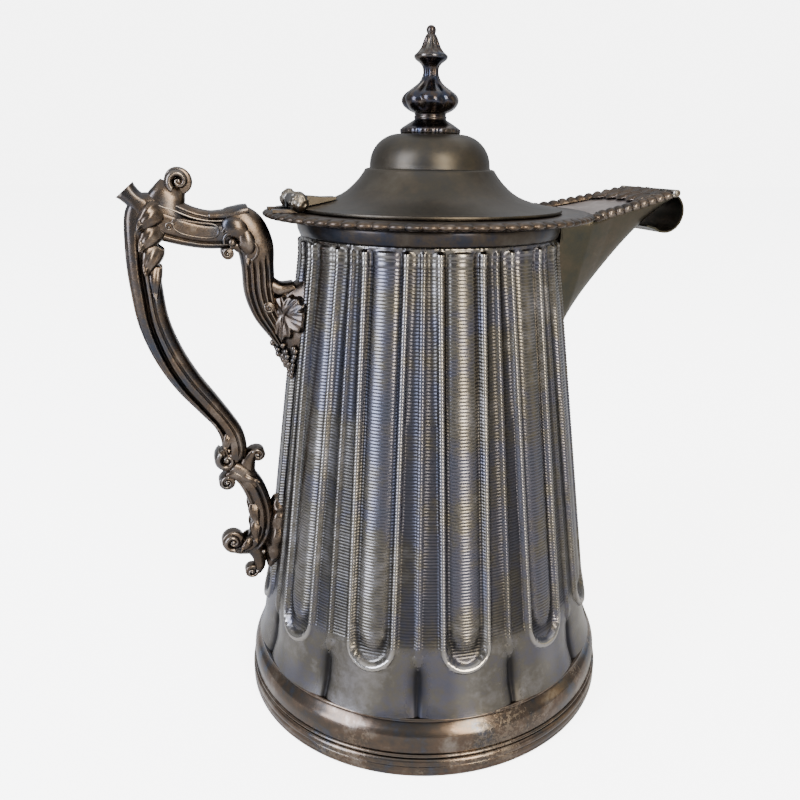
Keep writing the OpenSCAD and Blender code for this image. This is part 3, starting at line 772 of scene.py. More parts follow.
@dataclass
class Rim:
    """Flat flange round the mouth with a gadrooned edge, on a plain neck."""

    r: float = 76.2
    mouth_r: float = 57.0
    low_z: float = 239.5
    high_z: float = 242.5
    lobes: int = 72
    collar_r: float = 61.2
    neck_low: float = 232.0

    def build(self) -> None:
        """Build the flange and the neck."""
        self.flange()
        neck = [(self.mouth_r + 0.6, self.neck_low), (self.collar_r - 1.2, self.neck_low),
                (self.collar_r - 0.9, self.neck_low + 0.7), (self.collar_r - 0.6, self.neck_low + 1.6),
                (self.collar_r - 0.3, 234.4), (self.collar_r, 236.8), (self.collar_r, self.low_z),
                (self.mouth_r + 0.6, self.low_z)]
        # The neck band takes the plate with the rim's shade painted into its colour.
        finish_piece("neck_band", spun(neck, 192), Body.PITCHER, NECK_SHADE_PAINTED_PLATE, ["neck_collar"])

    def flange(self) -> None:
        """Spin the flange, then swell its edge into lobes."""
        core = self.r - 3.4
        edge = [(core + 3.3 * math.cos(a), 0.5 * (self.low_z + self.high_z) + 1.55 * math.sin(a))
                for a in (math.radians(d) for d in range(-90, 91, 15))]
        outline = ([(self.mouth_r, self.low_z), (core - 3.0, self.low_z)] + edge
                   + [(core - 1.2, self.high_z - 0.35), (core - 2.2, self.high_z - 0.45),
                      (core - 3.0, self.high_z - 0.1), (core - 4.2, self.high_z - 0.25),
                      (61.6, self.high_z - 0.25), (self.mouth_r, self.high_z - 0.2)])
        bm = spun(outline, self.lobes * 10)
        middle = 0.5 * (self.low_z + self.high_z)
        for vert in bm.verts:
            radius = math.hypot(vert.co.x, vert.co.y)
            if radius < core + 0.2:
                continue
            angle = math.atan2(vert.co.y, vert.co.x)
            out = (radius - core) / 3.3
            lobe = abs(math.sin(angle * self.lobes / 2)) ** 0.7
            pull = 1 - 0.42 * out * (1 - lobe)
            target = core + (radius - core) * pull
            vert.co.x *= target / radius
            vert.co.y *= target / radius
            vert.co.z = middle + (vert.co.z - middle) * (0.42 + 0.58 * lobe)
        finish_piece("rim_gadroon", bm, Body.PITCHER, BORDER_PLATE, ["rim_border"])


@dataclass
class Lid:
    """Spun domed lid with its bezel and turned finial."""

    edge_r: float = 61.0
    edge_z: float = 242.8
    crown_z: float = 275.6
    bezel_r: float = 56.0

    def outline(self) -> list[tuple[float, float]]:
        """Closed outline of the lid's wall."""
        shell = [(self.edge_r, self.edge_z), (self.edge_r + 0.25, self.edge_z + 0.55),
                 (self.edge_r, self.edge_z + 1.1), (58, 244.2), (54, 245.0), (49, 246.1), (44.5, 247.5),
                 (41, 249.0), (38.4, 250.6), (36.2, 252.4), (34.2, 254.3), (32.6, 256.0), (31.2, 257.8),
                 (30.1, 259.4), (29.7, 260.1), (29.2, 260.5), (28.4, 260.7), (27.8, 260.75), (27.5, 261.2)]
        shell += [(13.4 + 14 * math.cos(a), 262 + 13.6 * math.sin(a))
                  for a in (math.radians(d) for d in range(4, 91, 6))]
        lining = [(13.4 + 12.8 * math.cos(a), 262 + 12.4 * math.sin(a))
                  for a in (math.radians(d) for d in range(88, 7, -8))]
        lining += [(26.2, 260), (28.4, 258.9), (31.6, 254.9), (35.3, 251.3), (39.2, 248.3), (43, 246.6),
                   (48.4, 245.2), (54, 244), (self.bezel_r, self.edge_z)]
        hole = 2.2
        return shell + [(hole, self.crown_z), (hole, self.crown_z - 1.2)] + lining

    def build(self) -> None:
        """Build the lid, its bezel and its finial."""
        piece = finish_piece("lid_dome", spun(self.outline(), 256), Body.LID, LID_PLATE, ["lid"])
        sharp_corners(piece, 50)
        self.finial()

    def finial(self) -> None:
        """Turn the finial and chase its petals."""
        points = [(0, 272.0), (2.0, 272.0), (2.0, 275.4), (13.2, 275.5), (13.6, 275.9), (13.7, 276.7),
                  (13.6, 277.5), (13.0, 277.9), (12.6, 278.3), (11.5, 279.0), (9.9, 280.0), (8.2, 281.0),
                  (7.1, 281.7), (7.2, 282.2), (7.35, 282.6), (7.2, 283.0), (6.9, 283.4)]
        points += [(13 * math.cos(a), 289.5 + 6.3 * math.sin(a))
                   for a in (math.radians(d) for d in range(-56, 46, 6))]
        points += [(7.9, 295.0), (6.4, 296.0), (5.2, 297.0), (4.3, 298.2), (3.7, 299.6), (3.4, 301.0),
                   (3.5, 302.4), (3.9, 303.6), (4.8, 304.7), (6.0, 305.5), (6.9, 306.2), (7.4, 307.0),
                   (7.4, 307.8), (6.8, 308.4), (6.2, 308.9), (5.3, 309.8), (4.4, 311.0), (3.8, 312.4),
                   (3.2, 314.0), (2.6, 315.4), (2.1, 316.2)]
        points += [(2.15 * math.cos(a), 317.85 + 2.15 * math.sin(a))
                   for a in (math.radians(d) for d in range(-40, 80, 12))]
        points += [(0, 320.0)]
        bm = spun(points, 144)
        for vert in bm.verts:
            radius = math.hypot(vert.co.x, vert.co.y)
            if radius < 0.5:
                continue
            angle, z = math.atan2(vert.co.y, vert.co.x), vert.co.z
            change = 0.0
            if 275.8 < z < 277.8:
                change = -0.5 * (0.5 + 0.5 * math.cos(36 * angle)) * (1 - abs(z - 276.7) / 1.1)
            elif 284 < z < 297.5:
                lean = 0.5 + 0.5 * math.cos(7 * angle + 0.5 * math.sin((z - 290) * 0.5))
                amount = blend01(z, 284, 288) * (1 - blend01(z, 295, 297.5))
                change = -1.5 * amount * (1 - lean ** 0.35)
            elif 297.5 <= z < 305:
                amount = blend01(z, 297.5, 299) * (1 - blend01(z, 303, 305))
                change = -0.45 * (0.5 + 0.5 * math.cos(8 * angle)) * amount
            elif 306 < z < 315.5:
                amount = blend01(z, 308, 309) * (1 - blend01(z, 313, 315.5))
                change = -0.6 * (0.5 + 0.5 * math.cos(12 * angle)) * amount
            vert.co.x *= (radius + change) / radius
            vert.co.y *= (radius + change) / radius
        finish_piece("finial_turned", bm, Body.LID, FINIAL_PLATE, ["finial"])


# ------------------------------------------------------------------ spout


@dataclass
class Spout:
    """Covered spout: a beaten trough, a planished cover and its roped border."""

    rim_r: float = 76.6
    root_half: float = 34.0
    tip_half: float = 24.8
    end_x: float = 115.0
    low_z: float = 241.0
    high_z: float = 249.2
    collar_top: float = 239.5
    panel_v: float = 0.82
    section_v: float = 1.15
    section_u: float = 4.05

    def cover(self, s: float, v: float, lift: float) -> Point:
        """Point over the cover.

        Args:
            s: From 0 at the rim to 1 at the tip.
            v: From -1 to 1 across.
            lift: Height over the cover's underside.

        Returns:
            The point.
        """
        root = math.sqrt(self.rim_r ** 2 - (self.root_half * v) ** 2)
        half = self.root_half + (self.tip_half - self.root_half) * s ** 0.8
        rise = self.low_z + (self.high_z - self.low_z) * s ** 1.15
        return root + (self.end_x - root) * s, half * v, rise + lift + 1.5 * s * (1 - v * v)

    def trough(self, s: float, f: float) -> Point:
        """Point on the trough's outer skin.

        Args:
            s: From 0 at the body to 1 at the lip.
            f: Place across the section, from -pi/2 to pi/2.

        Returns:
            The point.
        """
        split = 0.22
        start = self.cover(0, 1, -0.2)
        if s < split:
            k = s / split
            edge = (51 + (start[0] - 51) * k, 31.5 + (start[1] - 31.5) * k, self.collar_top - 0.8 + 0.4 * k)
        else:
            k = (s - split) / (1 - split)
            top = self.cover(k, 1, -0.2)
            low = self.collar_top - 0.4
            edge = (top[0], top[1], low + (top[2] - low) * min(1.0, 4 * k))
        keel = [a * (1 - s) ** 2 + b * 2 * s * (1 - s) + c * s * s
                for a, b, c in ((69, 78, 102), (160, 204, 237))]
        across = f / (0.5 * math.pi)
        up = abs(across) ** (self.section_v + (self.section_u - self.section_v) * s ** 2.2)
        y, z = edge[1] * across, keel[1] + (edge[2] - keel[1]) * up
        x = keel[0] + (edge[0] - keel[0]) * up
        wall = cone_radius(z) - 0.6 if z < 225 else 59.6 + 1.6 * blend01(z, 225, 231)
        root = math.sqrt(wall ** 2 - y * y)
        return x + (root - x) * (1 - s) ** (3 + 9 * up), y, z

    def build(self) -> None:
        """Build the trough, the cover and the border."""
        bm = bmesh.new()
        skin(bm, 72, 70, lambda u, t: self.trough(t, math.pi * (u - 0.5)), tube=False)
        face_out(bm, lambda at: Vector((at.x - 75, at.y, at.z - 240)))
        bmesh.ops.solidify(bm, geom=bm.faces[:], thickness=1.1)
        finish_piece("spout_trough_sheet", bm, Body.PITCHER, SPOUT_PLATE, ["spout_trough"])
        self.sheet()
        self.tip_band()
        self.border()
        self.bar_ends()

    def sheet(self) -> None:
        """Planished cover with fine ripples at the lid."""
        bm = bmesh.new()
        skin(bm, 110, 110, lambda u, t: self.cover(t, (2 * u - 1) * self.panel_v, 0), tube=False)
        face_out(bm, lambda at: Vector((0, 0, 1)))
        bmesh.ops.solidify(bm, geom=bm.faces[:], thickness=1.2)
        bm.normal_update()
        for vert in bm.verts:
            if vert.normal.z < -0.2:
                continue
            x, y = vert.co.x, vert.co.y
            rho = math.hypot(x, y)
            vert.co.z += 0.32 * math.cos(TAU * (rho - self.rim_r) / 2.3) * (1 - blend01(rho, 82, 87)) - 0.35
        finish_piece("spout_cover_sheet", bm, Body.PITCHER, COVER_PLATE, ["spout_cover"])

    def tip_band(self) -> None:
        """Chased band of shells across the tip, with a scalloped inner edge."""
        bm = bmesh.new()

        def place(u: float, t: float) -> Point:
            """Point on cover or border at u and t."""
            v = (2 * u - 1) * self.panel_v
            v5 = abs((5 * u) % 1 - 0.5) * 2
            edge = 0.60 + 0.07 * v5 ** 2 - 0.10 * abs(v) ** 3
            s = edge + (0.985 - edge) * t
            fan = abs(math.cos(5 * math.pi * u))
            rib = abs(math.sin(21 * math.pi * u + 3.0 * math.sin(9 * s)))
            leaf = abs(math.sin(TAU * (2.6 * s - 0.35 * v5)))
            rise = blend01(t, 0.0, 0.10)
            return self.cover(s, v, 1.0 + rise * (0.5 + 0.7 * fan * rib ** 0.7 + 0.65 * leaf))

        skin(bm, 150, 70, place, tube=False)
        face_out(bm, lambda at: Vector((0, 0, 1)))
        bmesh.ops.solidify(bm, geom=bm.faces[:], thickness=0.4)
        finish_piece("spout_tip_band", bm, Body.PITCHER, BORDER_PLATE, ["cover_border"])

    def border(self) -> None:
        """Roped border down both edges of the cover, run into the rim's edge at its root."""
        bm = bmesh.new()
        for side in (-1, 1):
            def place(u: float, t: float, side: int = side) -> Point:
                """Point on cover or border at u and t."""
                top = u < 0.5
                w = 2 * u if top else 2 * (1 - u)
                twist = abs(math.sin(math.pi * (9.5 * t - 0.55 * w))) ** 0.6
                dome = math.sqrt(max(0.0, 1 - (2 * w - 1) ** 2))
                lift = 0.2 + 0.5 * t + dome * (0.7 + 1.7 * twist) if top else -1.7 * (1 - t) * w
                x, y, z = self.cover(t, side * (0.79 + 0.22 * w), lift)
                return x, y + side * 1.1 * twist * w, z

            skin(bm, 28, 190, place)
            ball(bm, (69.6, side * 33.4, 240.9), (3.2, 2.6, 1.9), None, 24, 14)
        finish_piece("spout_rope_border", bm, Body.PITCHER, BORDER_PLATE, ["cover_border"])

    def bar_ends(self) -> None:
        """Fixed ends of the tube across the tip, with their bent feet."""
        bm = bmesh.new()
        for side in (-1, 1):
            peg(bm, (117.5, side * 22.6, 251.0), 1.75, 4.4, 40)
            ball(bm, (117.5, side * 24.5, 251.0), (1.75, 0.8, 1.75), None, 32, 12)
            bmesh.ops.create_cube(bm, size=1.0, matrix=Matrix.Translation((116.1, side * 22.6, 250.0))
                                  @ Matrix.Diagonal((2.0, 4.2, 1.5, 1)))
        finish_piece("spout_bar_ends", bm, Body.PITCHER, HINGE_PLATE, ["flap_ears"])


@dataclass
class PourFlap:
    """Curled sheet that hangs from the tube at the spout's tip and closes its mouth."""

    hinge: tuple[float, float] = (117.5, 251.0)
    centre: tuple[float, float] = (113.5, 242.0)
    radius: float = 9.7
    half: float = 23.6
    sheet: float = 0.9

    def build(self) -> None:
        """Build the sheet and its barrel."""
        bm = bmesh.new()

        def place(u: float, t: float) -> Point:
            """Point on the curled sheet at u and t."""
            y = (2 * u - 1) * self.half
            if t < 0.8:
                at = math.radians(50 - 176 * t / 0.8)
                return (self.centre[0] + self.radius * math.cos(at), y,
                        self.centre[1] + self.radius * math.sin(at))
            k = (t - 0.8) / 0.2
            start = math.radians(-126)
            x0 = self.centre[0] + self.radius * math.cos(start)
            z0 = self.centre[1] + self.radius * math.sin(start)
            return x0 + (103.1 - x0) * k, y, z0 + (235.4 - z0) * k

        skin(bm, 24, 90, place, tube=False)
        face_out(bm, lambda at: at - Vector((self.centre[0], at.y, self.centre[1])))
        bmesh.ops.solidify(bm, geom=bm.faces[:], thickness=self.sheet)
        peg(bm, (self.hinge[0], 0, self.hinge[1]), 1.75, 40.0, 48)
        piece = finish_piece("pour_flap_sheet", bm, Body.FLAP, SPOUT_PLATE, ["pour_flap"])
        sharp_corners(piece, 50)


@dataclass
class LidHinge:
    """Pitted knobs on the ends of the lid's hinge pin."""

    x: float = -62.5
    z: float = 247.0
    y: float = 14.6
    radius: float = 4.4

    def build(self) -> None:
        """Build both knobs with a dimpled skin."""
        chance = random.Random(11)
        bm = bmesh.new()
        for side in (-1, 1):
            made = bmesh.ops.create_icosphere(bm, subdivisions=5, radius=self.radius,
                                              matrix=Matrix.Translation((self.x, side * self.y, self.z)))
            pits = [Vector([chance.gauss(0, 1) for _ in range(3)]).normalized() for _ in range(70)]
            middle = Vector((self.x, side * self.y, self.z))
            for vert in made["verts"]:
                way = (vert.co - middle).normalized()
                near = max(way.dot(pit) for pit in pits)
                vert.co = middle + way * (self.radius - 0.55 * blend01(near, 0.95, 0.99))
            peg(bm, (self.x, side * 11.1, self.z), 2.9, 1.2, 32)
        finish_piece("hinge_knobs", bm, Body.PITCHER, HINGE_PLATE, ["hinge_balls"])


# ------------------------------------------------------------------ handle


def boxy(angle: float, power: float = 0.62) -> tuple[float, float]:
    """Height and width factors of a squarish rounded section."""
    high, wide = math.cos(angle), math.sin(angle)
    return (math.copysign(abs(high) ** 0.8, high), math.copysign(abs(wide) ** power, wide))


def moulded(grooves: Sequence[tuple[float, float, float]], power: float = 0.55,
            fade: Callable[[float], float] = lambda t: 1.0) -> Section:
    """Section of a bar with grooves down both its sides.

    Args:
        grooves: Rows of place over the height from -1 to 1, half width of groove, and depth share.
        power: Squareness of the section.
        fade: Share of the depth for a place along the bar.

    Returns:
        The section.
    """
    def section(angle: float, t: float) -> tuple[float, float]:
        """Factors at an angle, cut by the grooves."""
        high, wide = boxy(angle, power)
        cut = sum(depth * math.exp(-((high - at) / half) ** 2) for at, half, depth in grooves)
        return high, wide * (1 - cut * fade(t))

    return section


# Squarish rounded section of a plain stem, without grooves.
STEM = moulded((), power=0.62)


def leaf_lobe(bm: bmesh.types.BMesh, x: float, z: float, y: float, length: float, width: float,
              turn: float, thick: float = 2.4, ribs: int = 5) -> None:
    """Add one overlapping acanthus lobe on both sides of a casting.

    Args:
        bm: Mesh that takes it.
        x: Middle of its root along the spout axis.
        z: Height of its root.
        y: Distance of its middle from the plane.
        length: From root to tip.
        width: Across.
        turn: Direction of its tip in degrees from +X towards +Z.
        thick: Height of its back.
        ribs: Number of folds in it.
    """
    way = math.radians(turn)
    for side in (-1, 1):
        def place(u: float, t: float, side: int = side) -> Point:
            """Point on the surface at u and t."""
            w = 2 * u if u < 0.5 else 2 * (1 - u)
            c = 2 * w - 1
            half = 0.5 * width * (1.85 * (t + 0.06) ** 0.35 * (1 - t) ** 0.75 + 0.03)
            back = math.sin(math.pi * (0.08 + 0.84 * t)) * math.sqrt(max(0.0, 1 - c * c))
            folds = 0.88 + 0.12 * abs(math.sin(0.5 * math.pi * ribs * (c + 1)))
            lift = thick * back * folds + (0.9 * blend01(t, 0.7, 1.0) * thick if u < 0.5 else 0)
            along, over = length * t, half * c + 0.22 * length * t * t
            out = lift if u < 0.5 else -1.5
            return (x + along * math.cos(way) - over * math.sin(way), side * (y + out),
                    z + along * math.sin(way) + over * math.cos(way))

        skin(bm, 32, 26, place)


@dataclass
class HandleGrip:
    """Leg and top rail of the cast handle, with crest scroll, split horn, leaves and foot scroll."""

    leg: Stations = (
        (-126.0, 247.5, 3.0, 5.2), (-126.3, 240.5, 6.0, 6.1), (-126.9, 224, 6.6, 6.5),
        (-126.5, 210, 6.5, 6.5), (-125, 196, 6.4, 6.5),
        (-120.6, 182, 6.3, 6.5), (-114, 169, 6, 6.5), (-106, 157.5, 5.4, 6), (-99.8, 148.5, 4.9, 5.6),
        (-96.4, 141, 5.4, 5.8), (-95.6, 134, 5.6, 5.8), (-96.2, 130, 4.6, 5.6))
    rail: Stations = (
        (-129, 243, 5.5, 5), (-124, 242.5, 8, 6.3), (-116, 239.6, 9.2, 6.6), (-107, 236.4, 8.4, 6.6),
        (-99, 235, 8, 6.6), (-90, 235.2, 8, 6.6))
    horn: Stations = (
        (-120, 240.0, 9, 6.4), (-124.6, 244.4, 6.0, 6.2), (-127.4, 247.4, 4.1, 5.8),
        (-129.6, 249.8, 4.1, 5.4), (-131.0, 251.4, 4.7, 5.0))
    crest: Stations = (
        (-117, 237, 10, 6.3), (-116.3, 244, 8.6, 6.2), (-113.9, 249.6, 6.8, 5.4), (-112.0, 253.2, 5.4, 3.2))

    def build(self) -> None:
        """Build the casting."""
        bm = bmesh.new()

        def leg_cut(angle: float, t: float) -> tuple[float, float]:
            """Factors of the leg's section, with its deep side groove."""
            high, wide = boxy(angle, 0.55)
            deep = -0.12 - 0.38 * blend01(t, 0.25, 0.75)
            cut = (0.52 * math.exp(-((high - deep) / 0.11) ** 2)
                   + 0.16 * math.exp(-((high + 0.86) / 0.045) ** 2)
                   + 0.20 * math.exp(-((high - 0.34) / 0.05) ** 2))
            return high, wide * (1 - cut * blend01(t, 0.10, 0.22) * (1 - blend01(t, 0.90, 0.97)))

        bar(bm, self.leg, leg_cut, 96, 110)
        rail_cut = moulded([(0.62, 0.05, 0.18), (0.36, 0.07, 0.30), (-0.64, 0.06, 0.24)],
                           fade=lambda t: blend01(t, 0.25, 0.4))
        bar(bm, self.rail, rail_cut, 96, 70)
        bar(bm, self.horn, STEM, 48, 30)
        bar(bm, self.crest, STEM, 48, 30)
        volute(bm, -109.8, 254.9, 6.5, 6.0, 232, 1.25, -1, 0.33, 0.5)
        volute(bm, -99.6, 129.4, 6.6, 6.0, 120, 1.2, 1, 0.33, 0.6)
        self.panel(bm)
        leaf_lobe(bm, -117.4, 243.8, 5.7, 13.0, 9.8, 206, 3.4, 3)
        leaf_lobe(bm, -118.8, 236.6, 5.5, 12.6, 9.4, 214, 3.3, 3)
        leaf_lobe(bm, -120.2, 229.0, 5.3, 13.0, 8.8, 230, 3.0, 3)
        leaf_lobe(bm, -121.4, 220.8, 5.0, 15.0, 5.6, 252, 1.8, 2)
        leaf_lobe(bm, -97.0, 142.5, 4.8, 8.0, 5.0, 235, 1.4, 3)
        finish_piece("handle_leg_and_rail", bm, Body.PITCHER, CAST_PLATE, ["handle_grip"])

    def panel(self, bm: bmesh.types.BMesh) -> None:
        """Raised fillet round the sunk panel of the rail, with a small scroll at its end."""
        for side in (-1, 1):
            def place(u: float, t: float, side: int = side) -> Point:
                """Point on the panel's fillet at u and t."""
                at = TAU * t
                long, tall = 9.0, 3.0
                px = long * math.copysign(abs(math.cos(at)) ** 0.45, math.cos(at))
                pz = tall * math.copysign(abs(math.sin(at)) ** 0.8, math.sin(at))
                ring = 0.62 * math.cos(TAU * u)
                x = -104.5 + px * (1 + ring / long)
                z = 235.0 + 0.035 * (x + 98) ** 2 * 0.35 + pz * (1 + ring / tall)
                return x, side * (6.1 + 0.75 * math.sin(TAU * u)), z

            skin(bm, 12, 90, place, tube=False)
        volute(bm, -115.0, 236.8, 2.9, 7.2, 20, 1.2, 1, 0.3, 0.9)


@dataclass
class HandleBracket:
    """Fluted S-bracket that turns down from the rail under a leafy mask."""

    line: Stations = (
        (-92, 236, 7.6, 6.8), (-85, 236, 8.6, 7.4), (-80.6, 228.5, 8.0, 7.4), (-79.8, 219, 7, 6.8),
        (-79.6, 208, 6.8, 6.5), (-77.6, 199, 6, 6.3), (-73.8, 191, 4.8, 6.0), (-71, 184, 3, 5))

    def build(self) -> None:
        """Build the casting."""
        bm = bmesh.new()
        bar(bm, [[-99, 241.0, 1.7, 6.5], [-92, 241.3, 2.2, 6.7], [-86.4, 242.6, 2.6, 6.9],
                 [-82.6, 243.4, 2.2, 6.6]], STEM, 40, 24)
        cut = moulded([(-0.62, 0.07, 0.22), (-0.22, 0.08, 0.28), (0.16, 0.08, 0.28), (0.5, 0.08, 0.22)],
                      fade=lambda t: blend01(t, 0.34, 0.46))
        bar(bm, self.line, cut, 96, 80)
        for side in (-1, 1):
            brow_turn, cheek_turn = (Matrix.Rotation(math.radians(d), 3, "Y") for d in (20, -12))
            ball(bm, (-88.2, side * 5.4, 236.0), (6.4, 3.2, 5.0), brow_turn, 28, 18)
            ball(bm, (-84.0, side * 5.2, 230.5), (4.4, 3.4, 6.8), cheek_turn, 28, 18)
            ball(bm, (-90.3, side * 6.6, 230.0), (1.9, 1.9, 1.9), None, 20, 12)
            self.brow(bm, side, -90.2, 230.4, 3.5, -30, 200, 0.95)
            self.brow(bm, side, -89.4, 231.4, 5.6, -10, 150, 0.8)
            self.brow(bm, side, -84.5, 226.6, 4.6, -70, 100, 0.8)
        leaf_lobe(bm, -82.5, 240.5, 4.9, 12.0, 7.2, 198, 2.2)
        leaf_lobe(bm, -80.2, 231.0, 5.2, 11.5, 6.4, 236, 2.0)
        volute(bm, -92.4, 225.2, 3.1, 6.0, 60, 1.25, 1, 0.3, 0.85)
        bar(bm, [[-84.5, 226.5, 3.2, 5.6], [-88.5, 228.4, 2.6, 5.8], [-91.2, 228, 1.6, 5.8]], STEM, 28, 16)
        volute(bm, -76.4, 201.2, 3.0, 7.4, 150, 1.4, 1, 0.3, 0.9)
        finish_piece("handle_bracket_casting", bm, Body.PITCHER, CAST_PLATE, ["handle_bracket"])

    def brow(self, bm: bmesh.types.BMesh, side: int, x: float, z: float, radius: float, low: float,
             high: float, thick: float) -> None:
        """Add a curved fold over the mask's eye.

        Args:
            bm: Mesh that takes it.
            side: -1 or 1 for the side of the handle.
            x: Centre of the fold's arc.
            z: Height of the centre.
            radius: Radius of the arc.
            low: First angle in degrees.
            high: Last angle in degrees.
            thick: Radius of the fold's section.
        """
        def place(u: float, t: float) -> Point:
            """Point on the fold at u and t."""
            at = math.radians(low + (high - low) * t)
            fat = thick * math.sin(math.pi * (0.1 + 0.8 * t)) ** 0.5
            ring = radius + fat * math.cos(TAU * u)
            return (x + ring * math.cos(at), side * (6.9 + fat * math.sin(TAU * u)), z + ring * math.sin(at))

        skin(bm, 12, 28, place)


@dataclass
class GrapeMount:
    """Vine leaf and a bunch of grapes that carry the bracket on the body."""

    ridge: Stations = (
        (-64.5, 166, 2.0, 0), (-68.6, 172, 6.5, 0), (-72, 178, 9.5, 0), (-75, 186, 12, 0),
        (-75.4, 195, 13, 0), (-74, 203, 12, 0), (-70, 208.6, 9.5, 0), (-62.6, 212.5, 7, 0))

    def surface(self, across: float, t: float, lift: float = 0.0) -> Point:
        """Point of the mount.

        Args:
            across: From -1 on one side to 1 on the other.
            t: From 0 at the lower tip to 1 at the top.
            lift: Height over the plain surface.

        Returns:
            The point.
        """
        x, z, half, _ = smooth_curve(self.ridge, t)
        y = across * half
        wall = wall_back(y, z) + 0.6
        share = abs(across) ** 1.25
        slope = Vector((-(0.55), math.copysign(0.83, across) * min(1.0, 3 * abs(across)))).normalized()
        return (x + (wall - x) * share + slope.x * lift, y + slope.y * lift * 0.8, z)

    def height(self, across: float, t: float) -> float:
        """Relief of the leaf at a point of the mount."""
        px, pz = (abs(across) - 0.50) * 13, (t - 0.62) * 46
        at, reach = math.atan2(px, -pz), math.hypot(px, pz)
        edge = 6.0 + 2.4 * abs(math.cos(2.5 * at)) ** 0.6 + 0.5 * math.cos(15 * at)
        inside = blend01(edge - reach, -0.4, 0.7)
        vein = math.exp(-(math.sin(2.5 * at) * reach / 0.9) ** 2)
        puff = 0.5 + 0.5 * math.cos(10 * at) * blend01(reach, 1.5, 5)
        return inside * (1.3 + 0.5 * puff - 0.7 * vein + 0.15 * reach) - 0.35 * (1 - inside)

    def build(self) -> None:
        """Build the mount."""
        bm = bmesh.new()

        def place(u: float, t: float) -> Point:
            """Point on the mount at u and t."""
            if u < 0.7:
                across = u / 0.35 - 1
                return self.surface(across, t, self.height(across, t))
            x, z, half, _ = smooth_curve(self.ridge, t)
            y = half * (1 - (u - 0.7) / 0.15)
            return wall_back(y, z) + 2.2, y, z

        skin(bm, 150, 110, place)
        chance = random.Random(5)
        bar(bm, [[-77, 212, 4, 5], [-71, 208.8, 3.2, 5.4], [-64.5, 209.6, 2.4, 6]], STEM, 32, 16)
        rows = ((0.03, 2), (0.07, 3), (0.115, 4), (0.16, 5), (0.205, 6), (0.25, 6), (0.295, 7), (0.34, 6),
                (0.38, 5))
        for t, count in rows:
            for k in range(count):
                across = 0.0 if count == 1 else -0.86 + 1.72 * k / (count - 1)
                shift = chance.uniform(-0.05, 0.05)
                x, y, z = self.surface(across + shift, t + chance.uniform(-0.01, 0.01), 0.5)
                r = chance.uniform(1.35, 1.7)
                ball(bm, (x, y, z), (r, r, r), None, 18, 12)
        finish_piece("grape_leaf_mount", bm, Body.PITCHER, CAST_PLATE, ["grape_mount"])


@dataclass
class HandleScroll:
    """Double C-scroll under the leg with its rolled ends and leaf."""

    line: Stations = (
        (-100.5, 121.6, 1.6, 4.6), (-96.0, 121.8, 3.2, 5.2), (-90.6, 117.8, 4.8, 5.4), (-87.0, 110, 5.2, 5.8),
        (-85.2, 100, 5.4, 5.8), (-86.2, 90, 5.2, 5.6), (-90.4, 83, 4.4, 5.2), (-96, 81.2, 2.6, 4.8),
        (-99.4, 81.4, 1.5, 4.6))

    def build(self) -> None:
        """Build the casting."""
        bm = bmesh.new()
        cut = moulded([(-0.55, 0.08, 0.2), (0.35, 0.10, 0.22)], fade=lambda t: blend01(t, 0.1, 0.25))
        bar(bm, self.line, cut, 64, 90)
        bar(bm, [[-97, 126, 3.4, 5], [-92.4, 122, 4.6, 5.4], [-88.4, 114, 4.6, 5.4]], STEM, 40, 20)
        bar(bm, [[-91.6, 121, 4.5, 4.8], [-90.2, 127, 3.8, 4.6], [-88.0, 131.2, 2.6, 4.4],
                 [-86.4, 133.0, 1.5, 4.2]], STEM, 36, 20)
        bar(bm, [[-91, 83, 4.6, 4.8], [-88.2, 77, 3.6, 4.6], [-87.8, 71, 2.8, 4.2], [-89.2, 67.4, 1.8, 4]],
            STEM, 36, 20)
        volute(bm, -100.3, 117.9, 4.4, 5.0, 70, 1.3, 1)
        volute(bm, -85.3, 130.6, 4.0, 4.6, 150, 1.2, -1)
        volute(bm, -99.8, 86.0, 6.2, 5.2, 285, 1.3, -1, 0.32, 0.6)
        volute(bm, -91.8, 68.0, 3.9, 4.4, 20, 1.2, -1, 0.34, 0.65)
        leaf_lobe(bm, -88.6, 106, 4.9, 11, 6.0, 262, 1.8)
        leaf_lobe(bm, -87.8, 96, 4.9, 10.5, 6.0, 252, 1.8)
        leaf_lobe(bm, -90.4, 86.4, 4.4, 8, 5.2, 205, 1.8)
        leaf_lobe(bm, -94, 122, 4.6, 9.5, 4.6, 320, 1.5, 3)
        for side in (-1, 1):
            ball(bm, (-85.6, side * 2.6, 78.8), (1.5, 2.0, 1.5), None, 16, 10)
        finish_piece("handle_c_scroll", bm, Body.PITCHER, CAST_PLATE, ["handle_scroll"])


@dataclass
class HandlePad:
    """Leaf-edged oval pad on the body, with the stem that carries the scroll."""

    z: float = 88.0
    half_z: float = 18.5
    half_y: float = 10.0

    def build(self) -> None:
        """Build the pad."""
        bm = bmesh.new()

        def place(u: float, t: float) -> Point:
            """Point on the pad at u and t."""
            at = TAU * u
            reach = min(1.0, t / 0.72)
            wave = 1 + 0.05 * math.cos(10 * at) * blend01(reach, 0.5, 1.0)
            y = self.half_y * reach * math.cos(at) * wave
            z = self.z + self.half_z * reach * math.sin(at) * wave
            wall = wall_back(y, z)
            if t > 0.72:
                return wall + 3.4 * (t - 0.72) / 0.28, y, z
            folds = 0.35 * math.cos(10 * at) * blend01(reach, 0.15, 0.5)
            swell = 3.2 * math.sqrt(max(0.0, 1 - reach ** 2)) + 1.6 + folds
            return wall - swell - 5.2 * math.exp(-(reach / 0.30) ** 2), y, z

        skin(bm, 96, 50, place)
        stem = Matrix.Translation((-82.6, 0, 90)) @ Matrix.Rotation(math.pi / 2, 4, "Y")
        bmesh.ops.create_cone(bm, cap_ends=True, segments=48, radius1=4.2, radius2=5.6, depth=7, matrix=stem)
        finish_piece("handle_foot_pad", bm, Body.PITCHER, CAST_PLATE, ["handle_pad"])


# ------------------------------------------------------------------ dressing and stage


